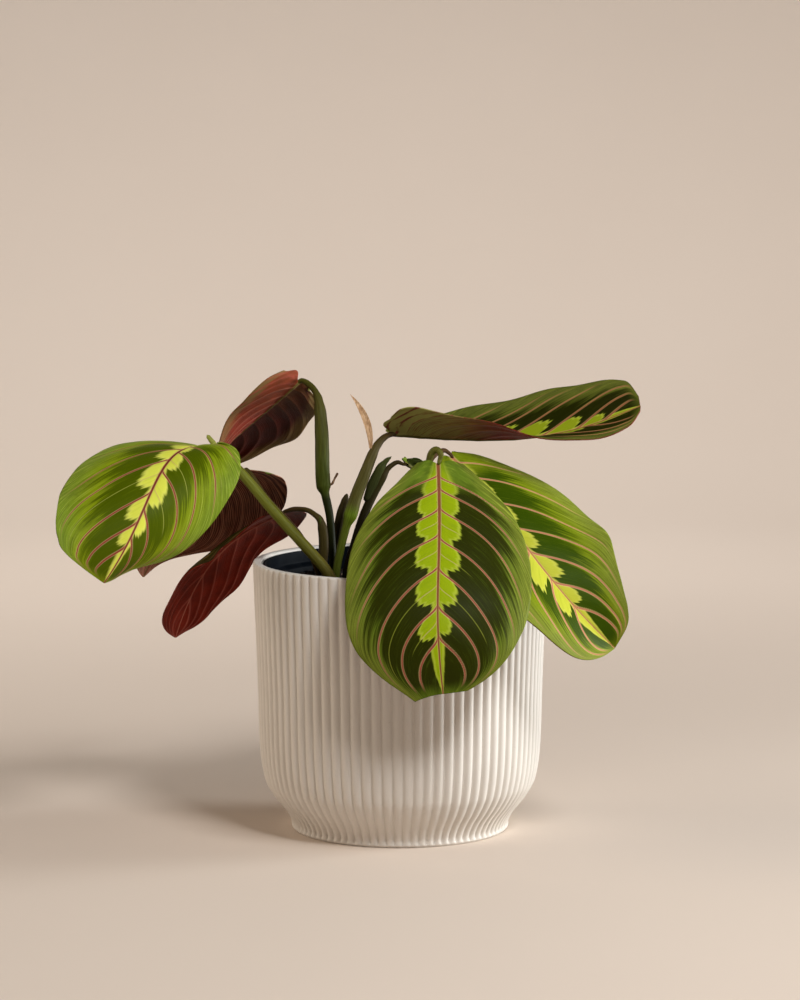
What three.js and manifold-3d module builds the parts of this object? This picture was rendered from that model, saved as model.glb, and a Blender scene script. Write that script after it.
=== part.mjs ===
// A potted prayer plant, a maranta with eight leaves in a white ribbed cover pot.
// Millimetres, +Z up. The origin is the middle of the pot's foot, on the surface it stands on.
// The plant leans to the left (-X), and its broadest leaf hangs over the front (-Y) of the rim.
import * as THREE from 'three';
import { mergeVertices } from 'three/addons/utils/BufferGeometryUtils.js';
import Module from 'manifold-3d';

const wasm = await Module();
wasm.setup();

// Clearance between neighbouring pieces
const GAP = 0.3;

// Cover pot
const POT_HEIGHT = 128.5;
const RIM_RADIUS = 70;
const RIM_WALL = 4;
const RIM_ROUNDING = 1.4;
const FOOT_RADIUS = 52;
const FOOT_HEIGHT = 4;
const POT_FLOOR = 9;
const CAVITY_FLOOR_RADIUS = 54;
const RIBS = 85;
const RIB_DEPTH = 1.3;
const RIB_SHARPNESS = 2.6;
const RIB_PHASE = THREE.MathUtils.degToRad(1.05);
const STEPS_PER_RIB = 3;
const POT_SIDES = 48;
const UNDERSIDE_RECESS = { inner: 20, outer: 45, depth: 0.9 };

// Grow pot
const GROW_POT_TOP = 127.4;
const GROW_POT_RADIUS = 65.3;
const GROW_POT_NECK = 62.6;
const GROW_POT_BASE_RADIUS = 50;
const GROW_POT_WALL = 1.4;
const GROW_POT_LIP_HEIGHT = 7;
const DRAIN_HOLES = { count: 6, ring: 30, radius: 4 };

// Soil
const SOIL_LEVEL = 117;
const SOIL_BUMP = 0.8;
const SOIL_BUMP_LENGTHS = { long: 46, across: 38, short: 23, slant: 31 };
const SOIL_RINGS = 6;
const HOLE_CLEARANCE = 0.5;
const HOLE_DEPTH = 12;

// Leaf blades
const BLADE_THICKNESS = 0.7;
const BLADE_ROWS = 16;
const BLADE_COLUMNS = 5;
const MARGIN_WAVES = 3;
const LEFT_MARGIN_LAG = 0.4;
const LOBE_FALL = 6;
const REACH_START = 12;
const WIDTH_PLACES = [0, 0.04, 0.1, 0.18, 0.28, 0.4, 0.52, 0.64, 0.74, 0.82, 0.88, 0.93, 0.97, 1];

// Stalks
const STALK_SIDES = 8;
const STALK_STEP = 5;
const HOLE_SIDES = 12;

const degrees = THREE.MathUtils.degToRad;

// Each leaf has a midrib, a cubic curve from its base to its tip, and two half-blades.
// rightward points across the blade at the base and at the tip, to the right of someone looking
// along the midrib from above. The half-blades lift off that line by an angle and then curl,
// both given at the base and at the tip. Their widths are given at WIDTH_PLACES, which are shares
// of the midrib's length, and the right one's tip can reach ahead of the midrib's end.
const LEAVES = {
  left_front: {
    midrib: [[-94.7, -2, 182.6], [-114.6, -31.6, 187.5], [-112.2, -68.3, 158.5], [-135.7, -61.2, 126]],
    rightward: [[-0.86, 0.28, 0.44], [-0.95, -0.31, 0]],
    left: {
      lift: [47, -39],
      curl: [-52, -66],
      widths: [11, 24, 30, 33.4, 34.6, 34.3, 33.4, 31.9, 29.2, 26.4, 23.4, 19.6, 14, 0.6],
    },
    right: {
      lift: [-16, 0],
      curl: [-25, -35],
      widths: [15, 31.3, 36.8, 40.6, 43.6, 44.3, 44.2, 42.2, 39, 36, 33.2, 29.4, 22.6, 0.6],
    },
    lobe: 5,
    wave: 0.6,
  },
  left_top: {
    midrib: [[-49.1, 30, 211], [-58, 30.4, 202.3], [-76.1, 65.8, 186.4], [-96.6, 71.8, 166.4]],
    rightward: [[0.78, 0.63, 0], [0.55, 0.83, -0.05]],
    left: {
      lift: [3, -33],
      curl: [7, -42],
      widths: [12.5, 20, 24.4, 26.2, 28.4, 31.2, 32.5, 31.3, 28.7, 25.4, 21.8, 17.6, 12.5, 0.6],
    },
    right: {
      lift: [-8, -12],
      curl: [-10, -9],
      widths: [8.5, 12.5, 17, 20.8, 25, 28.8, 30.2, 29.6, 27, 23.2, 19.4, 15.7, 11.1, 0.6],
    },
    lobe: 4,
    wave: 1,
  },
  left_back: {
    midrib: [[-73.6, 11, 170.6], [-83.8, 41, 168.8], [-117.7, 57, 141.8], [-127.2, 64, 111.6]],
    rightward: [[0.86, 0.5, 0], [0.44, 0.83, -0.38]],
    left: {
      lift: [-10, -10],
      curl: [-20, -20],
      widths: [12, 18, 25, 31.5, 37.6, 41.2, 40, 29.5, 22.6, 18.6, 14.6, 9.8, 5, 0.6],
    },
    right: {
      lift: [-10, -10],
      curl: [-20, -24],
      widths: [12.4, 18.6, 25.6, 32.4, 37.8, 39.9, 38.8, 34.1, 27.9, 21.4, 15.7, 10.3, 5.2, 0.6],
    },
    lobe: 6,
    wave: 0.8,
  },
  left_low: {
    midrib: [[-55.6, 16.6, 149.2], [-82.6, 51.9, 135], [-98.9, 36.2, 122.6], [-110.4, 46.4, 84]],
    rightward: [[0.27, 0.95, -0.11], [0.79, 0.61, 0.05]],
    left: {
      lift: [8, -11],
      curl: [-44, -29],
      widths: [16, 19.9, 23.9, 27.7, 30.6, 32, 31.4, 29, 26, 22.8, 18, 12.2, 6.2, 0.6],
    },
    right: {
      lift: [-4, -9],
      curl: [-29, -18],
      widths: [13, 16, 19.2, 22, 23.8, 24.2, 24.2, 22.8, 19.4, 15.4, 12.4, 8.6, 3.8, 0.6],
    },
    lobe: 4,
    wave: 0.8,
  },
  right_top: {
    midrib: [[-3.8, 16.6, 187.1], [59.8, 7.1, 182.3], [80, 10.9, 186], [113.7, -2, 202.1]],
    rightward: [[0.33, -0.61, 0.72], [0.27, -0.92, -0.28]],
    left: {
      lift: [60, 23],
      curl: [30, -10],
      widths: [10.9, 17.1, 22.3, 26.8, 30.4, 32.6, 32.9, 31.5, 28.7, 25.4, 21.8, 17.7, 12.6, 0.6],
    },
    right: {
      lift: [-3, -2],
      curl: [-10, 14],
      widths: [12, 18.6, 22.6, 24, 26, 28, 28.4, 27.2, 24.8, 21.9, 18.8, 15.3, 10.9, 0.6],
    },
    lobe: 4,
    wave: 0.6,
  },
  front: {
    midrib: [[17.7, -30.5, 178], [19.6, -74.5, 132.3], [13.9, -102.3, 127.2], [19.4, -95.8, 80.5]],
    rightward: [[-0.99, -0.15, 0.03], [-1, 0, 0]],
    left: {
      lift: [3, 1],
      curl: [-25, -37],
      widths: [11.6, 17.4, 25.4, 33.8, 40, 44.2, 45, 43.8, 41.4, 37.6, 33, 27, 19.5, 11.2],
    },
    right: {
      lift: [-2, 0],
      curl: [-25, -21],
      widths: [9.5, 14, 20, 29.2, 36.2, 40.8, 42.4, 42.6, 41.6, 38, 32, 25, 18, 13],
    },
    lobe: 1.5,
    wave: 0.7,
    reach: 2.5,
  },
  right_low: {
    midrib: [[24.1, -0.6, 178.3], [51.4, -26.8, 153.6], [62.4, -65.9, 130.4], [99.5, -45.2, 93.3]],
    rightward: [[-0.85, -0.53, -0.05], [-0.88, -0.43, 0.19]],
    left: {
      lift: [11, 20],
      curl: [-38, -5],
      widths: [4.6, 13, 22.4, 33.2, 39.8, 43.5, 44.2, 40.2, 33.8, 27, 21.6, 17.2, 11.6, 0.6],
    },
    right: {
      lift: [-16, 29],
      curl: [-18, -20],
      widths: [5.4, 15, 22.8, 29.6, 35, 38.1, 38.2, 34.6, 29.6, 25.6, 21.3, 15.3, 8, 0.6],
    },
    lobe: 2,
    wave: 0.7,
  },
  middle: {
    midrib: [[3.6, 8.4, 173.4], [9, 15, 170], [16, 25, 158], [22, 33, 138]],
    rightward: [[0.8, -0.6, 0], [0.8, -0.6, 0]],
    left: {
      lift: [45, -20],
      curl: [20, -30],
      widths: [4.4, 5, 5.6, 6.6, 8, 9.5, 10, 9.5, 8.3, 7, 5.5, 4, 2.4, 0.6],
    },
    right: {
      lift: [45, -20],
      curl: [20, -30],
      widths: [4.4, 5, 5.6, 6.6, 8, 9.5, 10, 9.5, 8.3, 7, 5.5, 4, 2.4, 0.6],
    },
    lobe: 3,
    wave: 0.5,
  },
};

// Each stem is a row of points, [x, y, z, radius], from below the soil upwards. The first stem of
// a stalk carries the leaf, and its first two points give the direction of its hole. The others
// are sheaths and side shoots that grow on it.
const STALKS = {
  left_front: [
    [[-26.5, -10.8, 109, 2.4], [-33.8, -10, 123, 2.6], [-40.7, -9, 131.6, 2.6], [-47.3, -8, 138.8, 2.6],
      [-61.6, -5, 154.5, 2.5], [-74.4, -2, 169.4, 2.4], [-84.5, 1.5, 178.5, 2], [-91, 2.4, 182.2, 1.3],
      [-93.9, -0.7, 182.5, 0.9]],
    [[-83.6, 1.5, 178, 1.6], [-88.4, 2.6, 183.7, 1.3], [-91.7, 3.6, 187.9, 1]],
  ],
  left_top: [
    [[-31.2, 5.6, 108, 1.9], [-32, 6.4, 125, 1.9], [-33.4, 8, 146.8, 1.9], [-35.6, 10, 158, 2],
      [-36.6, 11, 162.7, 3.5], [-37.1, 12, 170.3, 3.5], [-37.4, 15, 184.4, 3.4], [-38.1, 18, 196.1, 3],
      [-39.1, 21, 203.1, 2.1], [-40.8, 24, 207, 1.6], [-43.7, 27, 210, 1.5], [-47.4, 29.2, 211.8, 1.2]],
  ],
  left_back: [
    [[-35.2, -5, 109, 1.3], [-39.2, -4, 124, 1.3], [-47.6, -0.6, 140.6, 1.2], [-62.9, 3.6, 157.2, 1.2],
      [-70, 5, 167.4, 1.2], [-73, 9, 170.6, 1]],
  ],
  left_low: [
    [[-37.4, 1.6, 108, 2.1], [-36.9, 2, 124, 2.1], [-36.4, 3, 135.3, 2.4], [-36.9, 3.6, 142.5, 2.3],
      [-38.1, 3.8, 147.2, 1.7], [-40.8, 5, 149.7, 1.3], [-44.4, 8, 151.4, 1.2], [-50, 12.6, 151.4, 1.2],
      [-54.2, 15.6, 150.2, 1]],
    [[-36.7, 3.4, 141.5, 1.5], [-37.9, 2.8, 146.4, 1], [-38.2, 2.6, 149.1, 0.4]],
  ],
  right_top: [
    [[-31.6, -3.8, 108, 1.9], [-30.3, -3.6, 123, 1.9], [-28.3, -3, 133.7, 1.9], [-25.6, -2, 144.5, 2],
      [-23.5, -1, 150.4, 3.3], [-20.7, 1, 159.3, 3], [-17.1, 3, 168.4, 2.8], [-13.6, 6, 177.1, 2.5],
      [-11.2, 8, 182, 2], [-8.1, 11, 185.5, 1.6], [-4.8, 14.8, 187, 1.3]],
  ],
  middle: [
    [[-27, 1.6, 108, 2], [-25.2, 1.6, 123.5, 2], [-21.9, 2, 135.4, 2], [-17.6, 3, 148.7, 2.1],
      [-12.9, 5, 159, 2.1], [-8.6, 6, 166.6, 1.9], [-5.8, 7, 171.4, 1.3], [-2.4, 7.8, 174, 1.1],
      [-0.6, 7.8, 174.4, 1], [1.4, 7.4, 173.6, 0.8]],
    [[-16.2, 4, 155.6, 2], [-12.8, 5.4, 164.2, 2.6], [-9.5, 5.6, 171.4, 2.2], [-6.7, 5.6, 175.2, 1.2],
      [-4, 5.6, 177.4, 0.4]],
  ],
  front: [
    [[-26, -4.5, 108, 2], [-20.5, -8, 122, 2], [-11, -14, 140, 2], [0, -20, 156, 2],
      [9, -24.4, 168, 1.8], [13, -25.4, 176.5, 1.6], [14.6, -26.2, 182, 1.7], [17, -27.6, 184, 1.6],
      [19, -29, 182, 1.4], [18.4, -29.7, 179.2, 1]],
  ],
  right_low: [
    [[-21.6, 0.2, 108, 2], [-16.8, -0.8, 122, 2], [-9.5, -2, 140, 2], [2, -5, 158, 1.9],
      [11, -6.5, 171.5, 1.6], [16, -4.6, 178.8, 1.3], [20.4, -1.2, 181, 1.1], [23, -0.2, 179.8, 0.9]],
  ],
};

// A rolled young leaf in its dark sheath, beside the stalks
const YOUNG_SHEATH = [
  [-31.4, 13, 109, 1.9], [-31.2, 12.8, 124, 2], [-29.9, 12, 139.2, 2.3], [-28.2, 11.4, 148.8, 2.4],
  [-26.5, 11, 155.1, 1.8], [-25.3, 11, 159, 0.8],
];

// Dry pieces that stand on a stalk
const DRY_SHEATH_TIP = {
  spine: [[-14.1, 5.1, 181.4], [-13.8, 4.2, 190], [-16.4, 3.2, 199], [-23.6, 1, 207.5]],
  width: 1.7,
  thickness: 0.6,
};
const DRY_TWIG = [[-32.4, 11, 163.9, 0.6], [-31.2, 11, 166.3, 0.5], [-29.7, 11, 169, 0.6]];

// Colours, roughness and metalness
const MATERIALS = {
  pot: { color: 0xe9e4da, roughness: 0.55, metalness: 0 },
  plastic: { color: 0x14161a, roughness: 0.45, metalness: 0 },
  soil: { color: 0x1c1512, roughness: 0.95, metalness: 0 },
  blade: { color: 0x55752a, roughness: 0.5, metalness: 0 },
  stalk: { color: 0x66782c, roughness: 0.5, metalness: 0 },
  dark: { color: 0x2a2614, roughness: 0.6, metalness: 0 },
  dry: { color: 0xb98d62, roughness: 0.85, metalness: 0 },
};

const plant = new THREE.Group();

function add(name, geometry, look) {
  const mesh = new THREE.Mesh(geometry, new THREE.MeshStandardMaterial(MATERIALS[look]));
  mesh.name = name;
  plant.add(mesh);
}

// A geometry as a solid: positions only, shared corners merged, empty triangles dropped.
function toSolid(geometry) {
  const bare = geometry.clone();
  bare.deleteAttribute('normal');
  bare.deleteAttribute('uv');
  const merged = mergeVertices(bare, 1e-4);
  const corners = [];
  for (let i = 0; i < merged.index.count; i += 3) {
    const [a, b, c] = [0, 1, 2].map((k) => merged.index.getX(i + k));
    if (a !== b && b !== c && c !== a) corners.push(a, b, c);
  }
  return new wasm.Manifold(new wasm.Mesh({
    numProp: 3,
    vertProperties: new Float32Array(merged.attributes.position.array),
    triVerts: new Uint32Array(corners),
  }));
}

function toGeometry(solid) {
  const mesh = solid.getMesh();
  const geometry = new THREE.BufferGeometry();
  geometry.setAttribute('position', new THREE.BufferAttribute(mesh.vertProperties, 3));
  geometry.setIndex(new THREE.BufferAttribute(mesh.triVerts, 1));
  return geometry;
}

// A profile of [radius, height] points turned round Z
function turned(profile, sides) {
  const points = profile.map(([radius, height]) => new THREE.Vector2(radius, height));
  return new THREE.LatheGeometry(points, sides).rotateX(Math.PI / 2);
}

// A round bar from one point to another, as a tool for holes
function bar(from, to, radius, sides) {
  const start = new THREE.Vector3(...from);
  const way = new THREE.Vector3(...to).sub(start);
  const upright = new THREE.Vector3(0, 1, 0);
  const cylinder = new THREE.CylinderGeometry(radius, radius, way.length(), sides);
  cylinder.applyQuaternion(new THREE.Quaternion().setFromUnitVectors(upright, way.clone().normalize()));
  const middle = start.addScaledVector(way, 0.5);
  return toSolid(cylinder.translate(middle.x, middle.y, middle.z));
}

// Cover pot. The outside is a turned body whose wall is pressed in along narrow grooves, so
// that rounded ribs stand between them. They end on the smooth foot ring.
function ribPress(angle, height) {
  const turn = (angle * RIBS) / (2 * Math.PI);
  const across = Math.abs(2 * (turn - Math.floor(turn)) - 1);
  const fade = THREE.MathUtils.smoothstep(height, 1.5, 9);
  return RIB_DEPTH * fade * across ** RIB_SHARPNESS;
}

function coverPot() {
  const outside = [
    [0, 0], [FOOT_RADIUS - 1, 0], [FOOT_RADIUS, 1], [FOOT_RADIUS + 0.2, FOOT_HEIGHT], [54.9, 9],
    [60.4, 16], [64.6, 23.5], [67, 38],
    [RIM_RADIUS - 0.1, POT_HEIGHT - RIM_ROUNDING], [RIM_RADIUS - RIM_ROUNDING, POT_HEIGHT], [0, POT_HEIGHT],
  ];
  const body = turned(outside, RIBS * STEPS_PER_RIB);
  const position = body.attributes.position;
  for (let i = 0; i < position.count; i += 1) {
    const [x, y, z] = [position.getX(i), position.getY(i), position.getZ(i)];
    const radius = Math.hypot(x, y);
    const onWall = radius > FOOT_RADIUS - 2;
    const pressed = onWall ? radius - ribPress(Math.atan2(x, -y), z) : radius;
    const share = radius > 0 ? pressed / radius : 0;
    position.setXY(i, x * share, y * share);
  }
  const top = POT_HEIGHT + 2;
  const inside = [
    [0, POT_FLOOR], [CAVITY_FLOOR_RADIUS - 3, POT_FLOOR], [CAVITY_FLOOR_RADIUS, POT_FLOOR + 3],
    [60, 22], [62.4, 36], [RIM_RADIUS - RIM_WALL, POT_HEIGHT - 1.2],
    [RIM_RADIUS - RIM_WALL + 1.2, top], [0, top],
  ];
  const { inner, outer, depth } = UNDERSIDE_RECESS;
  const recess = [
    [inner, -1], [outer, -1], [outer, 0], [outer - 1, depth], [inner + 1, depth], [inner, 0], [inner, -1],
  ];
  return toSolid(body.rotateZ(RIB_PHASE))
    .subtract(toSolid(turned(inside, POT_SIDES)))
    .subtract(toSolid(turned(recess, POT_SIDES)));
}

// Grow pot: a thin tapered pot with a flared lip and drain holes, standing on the cover pot's floor
function growPot() {
  const base = POT_FLOOR + GAP;
  const lip = GROW_POT_TOP - GROW_POT_LIP_HEIGHT;
  const wall = GROW_POT_WALL;
  const section = [
    [0, base], [GROW_POT_BASE_RADIUS - 1, base], [GROW_POT_BASE_RADIUS, base + 2],
    [GROW_POT_NECK, lip - 1.5], [GROW_POT_RADIUS, lip], [GROW_POT_RADIUS, GROW_POT_TOP],
    [GROW_POT_RADIUS - wall, GROW_POT_TOP], [GROW_POT_RADIUS - wall, lip + 1.2],
    [GROW_POT_NECK - wall, lip - 0.4], [GROW_POT_BASE_RADIUS - wall, base + wall + 1],
    [GROW_POT_BASE_RADIUS - wall - 1, base + wall], [0, base + wall],
  ];
  let pot = toSolid(turned(section, POT_SIDES));
  for (let i = 0; i < DRAIN_HOLES.count; i += 1) {
    const angle = (2 * Math.PI * i) / DRAIN_HOLES.count;
    const [x, y] = [DRAIN_HOLES.ring * Math.cos(angle), DRAIN_HOLES.ring * Math.sin(angle)];
    pot = pot.subtract(bar([x, y, base - 2], [x, y, base + 5], DRAIN_HOLES.radius, HOLE_SIDES));
  }
  return pot;
}

// Soil: fills the grow pot; its top is uneven. Each stalk stands in a plain hole.
function soilHeight(x, y) {
  const { long, across, short, slant } = SOIL_BUMP_LENGTHS;
  const turn = 2 * Math.PI;
  const broad = Math.sin((turn * x) / long + 1) * Math.cos((turn * y) / across);
  const fine = Math.sin((turn * x) / short - (turn * y) / slant);
  return SOIL_LEVEL + SOIL_BUMP * (broad + 0.6 * fine);
}

function soil() {
  const base = POT_FLOOR + 2 * GAP + GROW_POT_WALL;
  const neck = GROW_POT_NECK - GROW_POT_WALL - 4 * GAP;
  const foot = GROW_POT_BASE_RADIUS - GROW_POT_WALL - GAP;
  const profile = [[0, base], [foot - 1.5, base], [foot, base + 2], [neck, SOIL_LEVEL - 2]];
  for (let ring = SOIL_RINGS; ring >= 0; ring -= 1) {
    profile.push([(neck * ring) / SOIL_RINGS, SOIL_LEVEL]);
  }
  const body = turned(profile, POT_SIDES);
  const position = body.attributes.position;
  for (let i = 0; i < position.count; i += 1) {
    const [x, y, z] = [position.getX(i), position.getY(i), position.getZ(i)];
    if (z > SOIL_LEVEL - 0.01) position.setZ(i, soilHeight(x, y));
  }
  let ground = toSolid(body);
  const planted = [...Object.values(STALKS).map((stems) => stems[0]), YOUNG_SHEATH];
  for (const [first, second] of planted) {
    const end = new THREE.Vector3(...first);
    const way = new THREE.Vector3(...second).sub(end).normalize();
    const radius = Math.max(first[3], second[3]) + HOLE_CLEARANCE;
    const from = end.clone().addScaledVector(way, -GAP);
    const to = end.clone().addScaledVector(way, 2 * HOLE_DEPTH);
    ground = ground.subtract(bar(from.toArray(), to.toArray(), radius, HOLE_SIDES));
  }
  return ground;
}

// A round stem along a smooth curve that swells and tapers
function stem(points) {
  const curve = new THREE.CatmullRomCurve3(
    points.map(([x, y, z]) => new THREE.Vector3(x, y, z)), false, 'catmullrom', 0.5,
  );
  const steps = Math.max(2, Math.round(curve.getLength() / STALK_STEP));
  const frames = curve.computeFrenetFrames(steps, false);
  const positions = [];
  const index = [];
  for (let i = 0; i <= steps; i += 1) {
    const place = curve.getUtoTmapping(i / steps) * (points.length - 1);
    const before = Math.min(Math.floor(place), points.length - 2);
    const share = THREE.MathUtils.smoothstep(place - before, 0, 1);
    const radius = THREE.MathUtils.lerp(points[before][3], points[before + 1][3], share);
    const centre = curve.getPointAt(i / steps);
    for (let k = 0; k < STALK_SIDES; k += 1) {
      const angle = (2 * Math.PI * k) / STALK_SIDES;
      const corner = centre.clone()
        .addScaledVector(frames.normals[i], radius * Math.cos(angle))
        .addScaledVector(frames.binormals[i], radius * Math.sin(angle));
      positions.push(...corner.toArray());
    }
  }
  for (let i = 0; i < steps; i += 1) {
    for (let k = 0; k < STALK_SIDES; k += 1) {
      const [a, b] = [i * STALK_SIDES + k, i * STALK_SIDES + ((k + 1) % STALK_SIDES)];
      const [c, d] = [a + STALK_SIDES, b + STALK_SIDES];
      index.push(a, b, d, a, d, c);
    }
  }
  for (let k = 1; k < STALK_SIDES - 1; k += 1) {
    const last = steps * STALK_SIDES;
    index.push(0, k + 1, k, last, last + k, last + k + 1);
  }
  const geometry = new THREE.BufferGeometry();
  geometry.setAttribute('position', new THREE.Float32BufferAttribute(positions, 3));
  geometry.setIndex(index);
  return toSolid(geometry);
}

function stalk(stems) {
  return stems.map(stem).reduce((joined, next) => joined.add(next));
}

// Leaf blade
// A smooth curve through the widths: between two of them a cubic whose slope at each is that of
// the line through its two neighbours
function halfWidth(widths, along) {
  const last = widths.length - 1;
  const slope = (i) => {
    const [before, after] = [Math.max(i - 1, 0), Math.min(i + 1, last)];
    return (widths[after] - widths[before]) / (WIDTH_PLACES[after] - WIDTH_PLACES[before]);
  };
  const next = Math.max(1, WIDTH_PLACES.findIndex((place) => place >= along));
  const step = WIDTH_PLACES[next] - WIDTH_PLACES[next - 1];
  const u = (along - WIDTH_PLACES[next - 1]) / step;
  const rise = u * u * (3 - 2 * u);
  return widths[next - 1] * (1 - rise) + widths[next] * rise
    + step * u * (1 - u) * ((1 - u) * slope(next - 1) - u * slope(next));
}

function between([atBase, atTip], along) {
  return atBase + (atTip - atBase) * along;
}

// The blade's middle surface: along runs from 0 at the base to 1 at the tip, across from -1 at
// the left margin to 1 at the right one.
function bladePoint(leaf, midrib, along, across) {
  const forward = midrib.getTangentAt(along);
  const [atBase, atTip] = leaf.rightward.map((way) => new THREE.Vector3(...way).normalize());
  const sideways = atBase.lerp(atTip, along);
  sideways.addScaledVector(forward, -sideways.dot(forward)).normalize();
  const upward = sideways.clone().cross(forward);
  const right = across >= 0;
  const half = right ? leaf.right : leaf.left;
  const out = Math.abs(across) * halfWidth(half.widths, along);
  const lift = degrees(between(half.lift, along));
  const bend = degrees(between(half.curl, along)) / Math.max(...half.widths);
  const end = lift + bend * out;
  const aside = (Math.sin(end) - Math.sin(lift)) / bend;
  const phase = MARGIN_WAVES * along + (right ? 0 : LEFT_MARGIN_LAG);
  const ripple = leaf.wave * across ** 2 * Math.sin(2 * Math.PI * phase);
  const rise = (Math.cos(lift) - Math.cos(end)) / bend + ripple * Math.min(1, 4 * (1 - along));
  const back = leaf.lobe * (1 - along) ** LOBE_FALL * Math.sin(Math.PI * Math.abs(across)) ** 2;
  const ahead = right ? (leaf.reach ?? 0) * along ** REACH_START * across ** 2 : 0;
  return midrib.getPointAt(along)
    .addScaledVector(sideways, right ? aside : -aside)
    .addScaledVector(upward, rise)
    .addScaledVector(forward, ahead - back);
}

function blade(leaf) {
  const midrib = new THREE.CubicBezierCurve3(...leaf.midrib.map((point) => new THREE.Vector3(...point)));
  const columns = 2 * BLADE_COLUMNS + 1;
  const middle = [];
  for (let i = 0; i <= BLADE_ROWS; i += 1) {
    const share = i / BLADE_ROWS;
    const along = (share + (1 - Math.cos(Math.PI * share)) / 2) / 2;
    for (let j = 0; j < columns; j += 1) {
      middle.push(bladePoint(leaf, midrib, along, j / BLADE_COLUMNS - 1));
    }
  }
  const at = (i, j) => middle[i * columns + j];
  const positions = [];
  for (const face of [1, -1]) {
    for (let i = 0; i <= BLADE_ROWS; i += 1) {
      for (let j = 0; j < columns; j += 1) {
        const ahead = at(Math.min(i + 1, BLADE_ROWS), j).clone().sub(at(Math.max(i - 1, 0), j));
        const aside = at(i, Math.min(j + 1, columns - 1)).clone().sub(at(i, Math.max(j - 1, 0)));
        const normal = aside.cross(ahead).normalize();
        positions.push(...at(i, j).clone().addScaledVector(normal, (face * BLADE_THICKNESS) / 2).toArray());
      }
    }
  }
  const lower = (BLADE_ROWS + 1) * columns;
  const index = [];
  for (let i = 0; i < BLADE_ROWS; i += 1) {
    for (let j = 0; j < columns - 1; j += 1) {
      const a = i * columns + j;
      const [b, c, d] = [a + 1, a + columns, a + columns + 1];
      index.push(a, b, d, a, d, c);
      index.push(lower + a, lower + d, lower + b, lower + a, lower + c, lower + d);
    }
  }
  const edge = [];
  for (let j = 0; j < columns - 1; j += 1) edge.push(j);
  for (let i = 0; i < BLADE_ROWS; i += 1) edge.push(i * columns + columns - 1);
  for (let j = columns - 1; j > 0; j -= 1) edge.push(BLADE_ROWS * columns + j);
  for (let i = BLADE_ROWS; i > 0; i -= 1) edge.push(i * columns);
  for (let k = 0; k < edge.length; k += 1) {
    const [a, b] = [edge[k], edge[(k + 1) % edge.length]];
    index.push(a, lower + b, b, a, lower + a, lower + b);
  }
  const geometry = new THREE.BufferGeometry();
  geometry.setAttribute('position', new THREE.Float32BufferAttribute(positions, 3));
  geometry.setIndex(index);
  return geometry;
}

// Dry sheath tip: a thin pointed strip that stands on the upper right stalk
function drySheathTip() {
  const { spine, width, thickness } = DRY_SHEATH_TIP;
  const outline = new THREE.Shape();
  outline.absellipse(0, 0, thickness / 2, width, 0, 2 * Math.PI);
  const curve = new THREE.CubicBezierCurve3(...spine.map((point) => new THREE.Vector3(...point)));
  return new THREE.ExtrudeGeometry(outline, { steps: 10, curveSegments: 3, extrudePath: curve });
}

add('cover_pot', toGeometry(coverPot()), 'pot');
add('grow_pot', toGeometry(growPot()), 'plastic');
add('soil', toGeometry(soil()), 'soil');
for (const [name, leaf] of Object.entries(LEAVES)) add(`leaf_${name}`, blade(leaf), 'blade');
for (const [name, stems] of Object.entries(STALKS)) add(`stalk_${name}`, toGeometry(stalk(stems)), 'stalk');
add('young_sheath', toGeometry(stem(YOUNG_SHEATH)), 'dark');
add('dry_sheath_tip', drySheathTip(), 'dry');
add('dry_twig', toGeometry(stem(DRY_TWIG)), 'dry');

export default plant;
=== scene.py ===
"""A potted prayer plant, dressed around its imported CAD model.

The plant stands in soil in a dark grow pot, inside a white ribbed cover pot. Sizes are in
millimetres and become metres when a mesh is made. The plant leans to -X, and the viewer
stands at -Y.
"""

import bpy
import numpy as np
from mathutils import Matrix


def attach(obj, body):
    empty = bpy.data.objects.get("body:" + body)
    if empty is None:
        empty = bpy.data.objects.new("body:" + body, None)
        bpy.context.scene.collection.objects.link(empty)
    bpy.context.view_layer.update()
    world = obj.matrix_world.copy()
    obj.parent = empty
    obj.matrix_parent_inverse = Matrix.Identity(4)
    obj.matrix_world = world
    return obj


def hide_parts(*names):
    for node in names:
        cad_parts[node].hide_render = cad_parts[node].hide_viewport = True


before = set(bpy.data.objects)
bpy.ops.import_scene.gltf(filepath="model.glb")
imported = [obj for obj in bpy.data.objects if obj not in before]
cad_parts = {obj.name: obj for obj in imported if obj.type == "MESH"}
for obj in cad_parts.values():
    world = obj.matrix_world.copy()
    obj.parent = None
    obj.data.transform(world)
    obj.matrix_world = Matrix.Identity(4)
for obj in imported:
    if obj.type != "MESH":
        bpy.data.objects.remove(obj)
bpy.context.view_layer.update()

# Cover pot
# A turned ceramic pot with a matt white glaze. Rounded ribs are pressed into the wall from just
# under the rim down to the foot ring. Its mouth is smooth and about 4 mm thick.
MM = 0.001
POT_HEIGHT = 128.5
RIM_RADIUS = 70
RIM_WALL = 4
RIM_ROUNDING = 1.4
FOOT_RADIUS = 52
POT_FLOOR = 9
RIBS = 85
RIB_DEPTH = 1.9
RIB_PHASE = np.radians(1.05)
STEPS_PER_RIB = 10
# The radius of the smallest ring of a turned shape, which a fan of triangles closes
POLE = 0.3
# The wall's outside, from the foot ring up
WALL_HEIGHTS = (1, 4, 9, 16, 23.5, 38, 70, 124)
WALL_RADII = (FOOT_RADIUS, 52.2, 54.9, 60.4, 64.6, 67, 68, RIM_RADIUS - 0.1)
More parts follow.
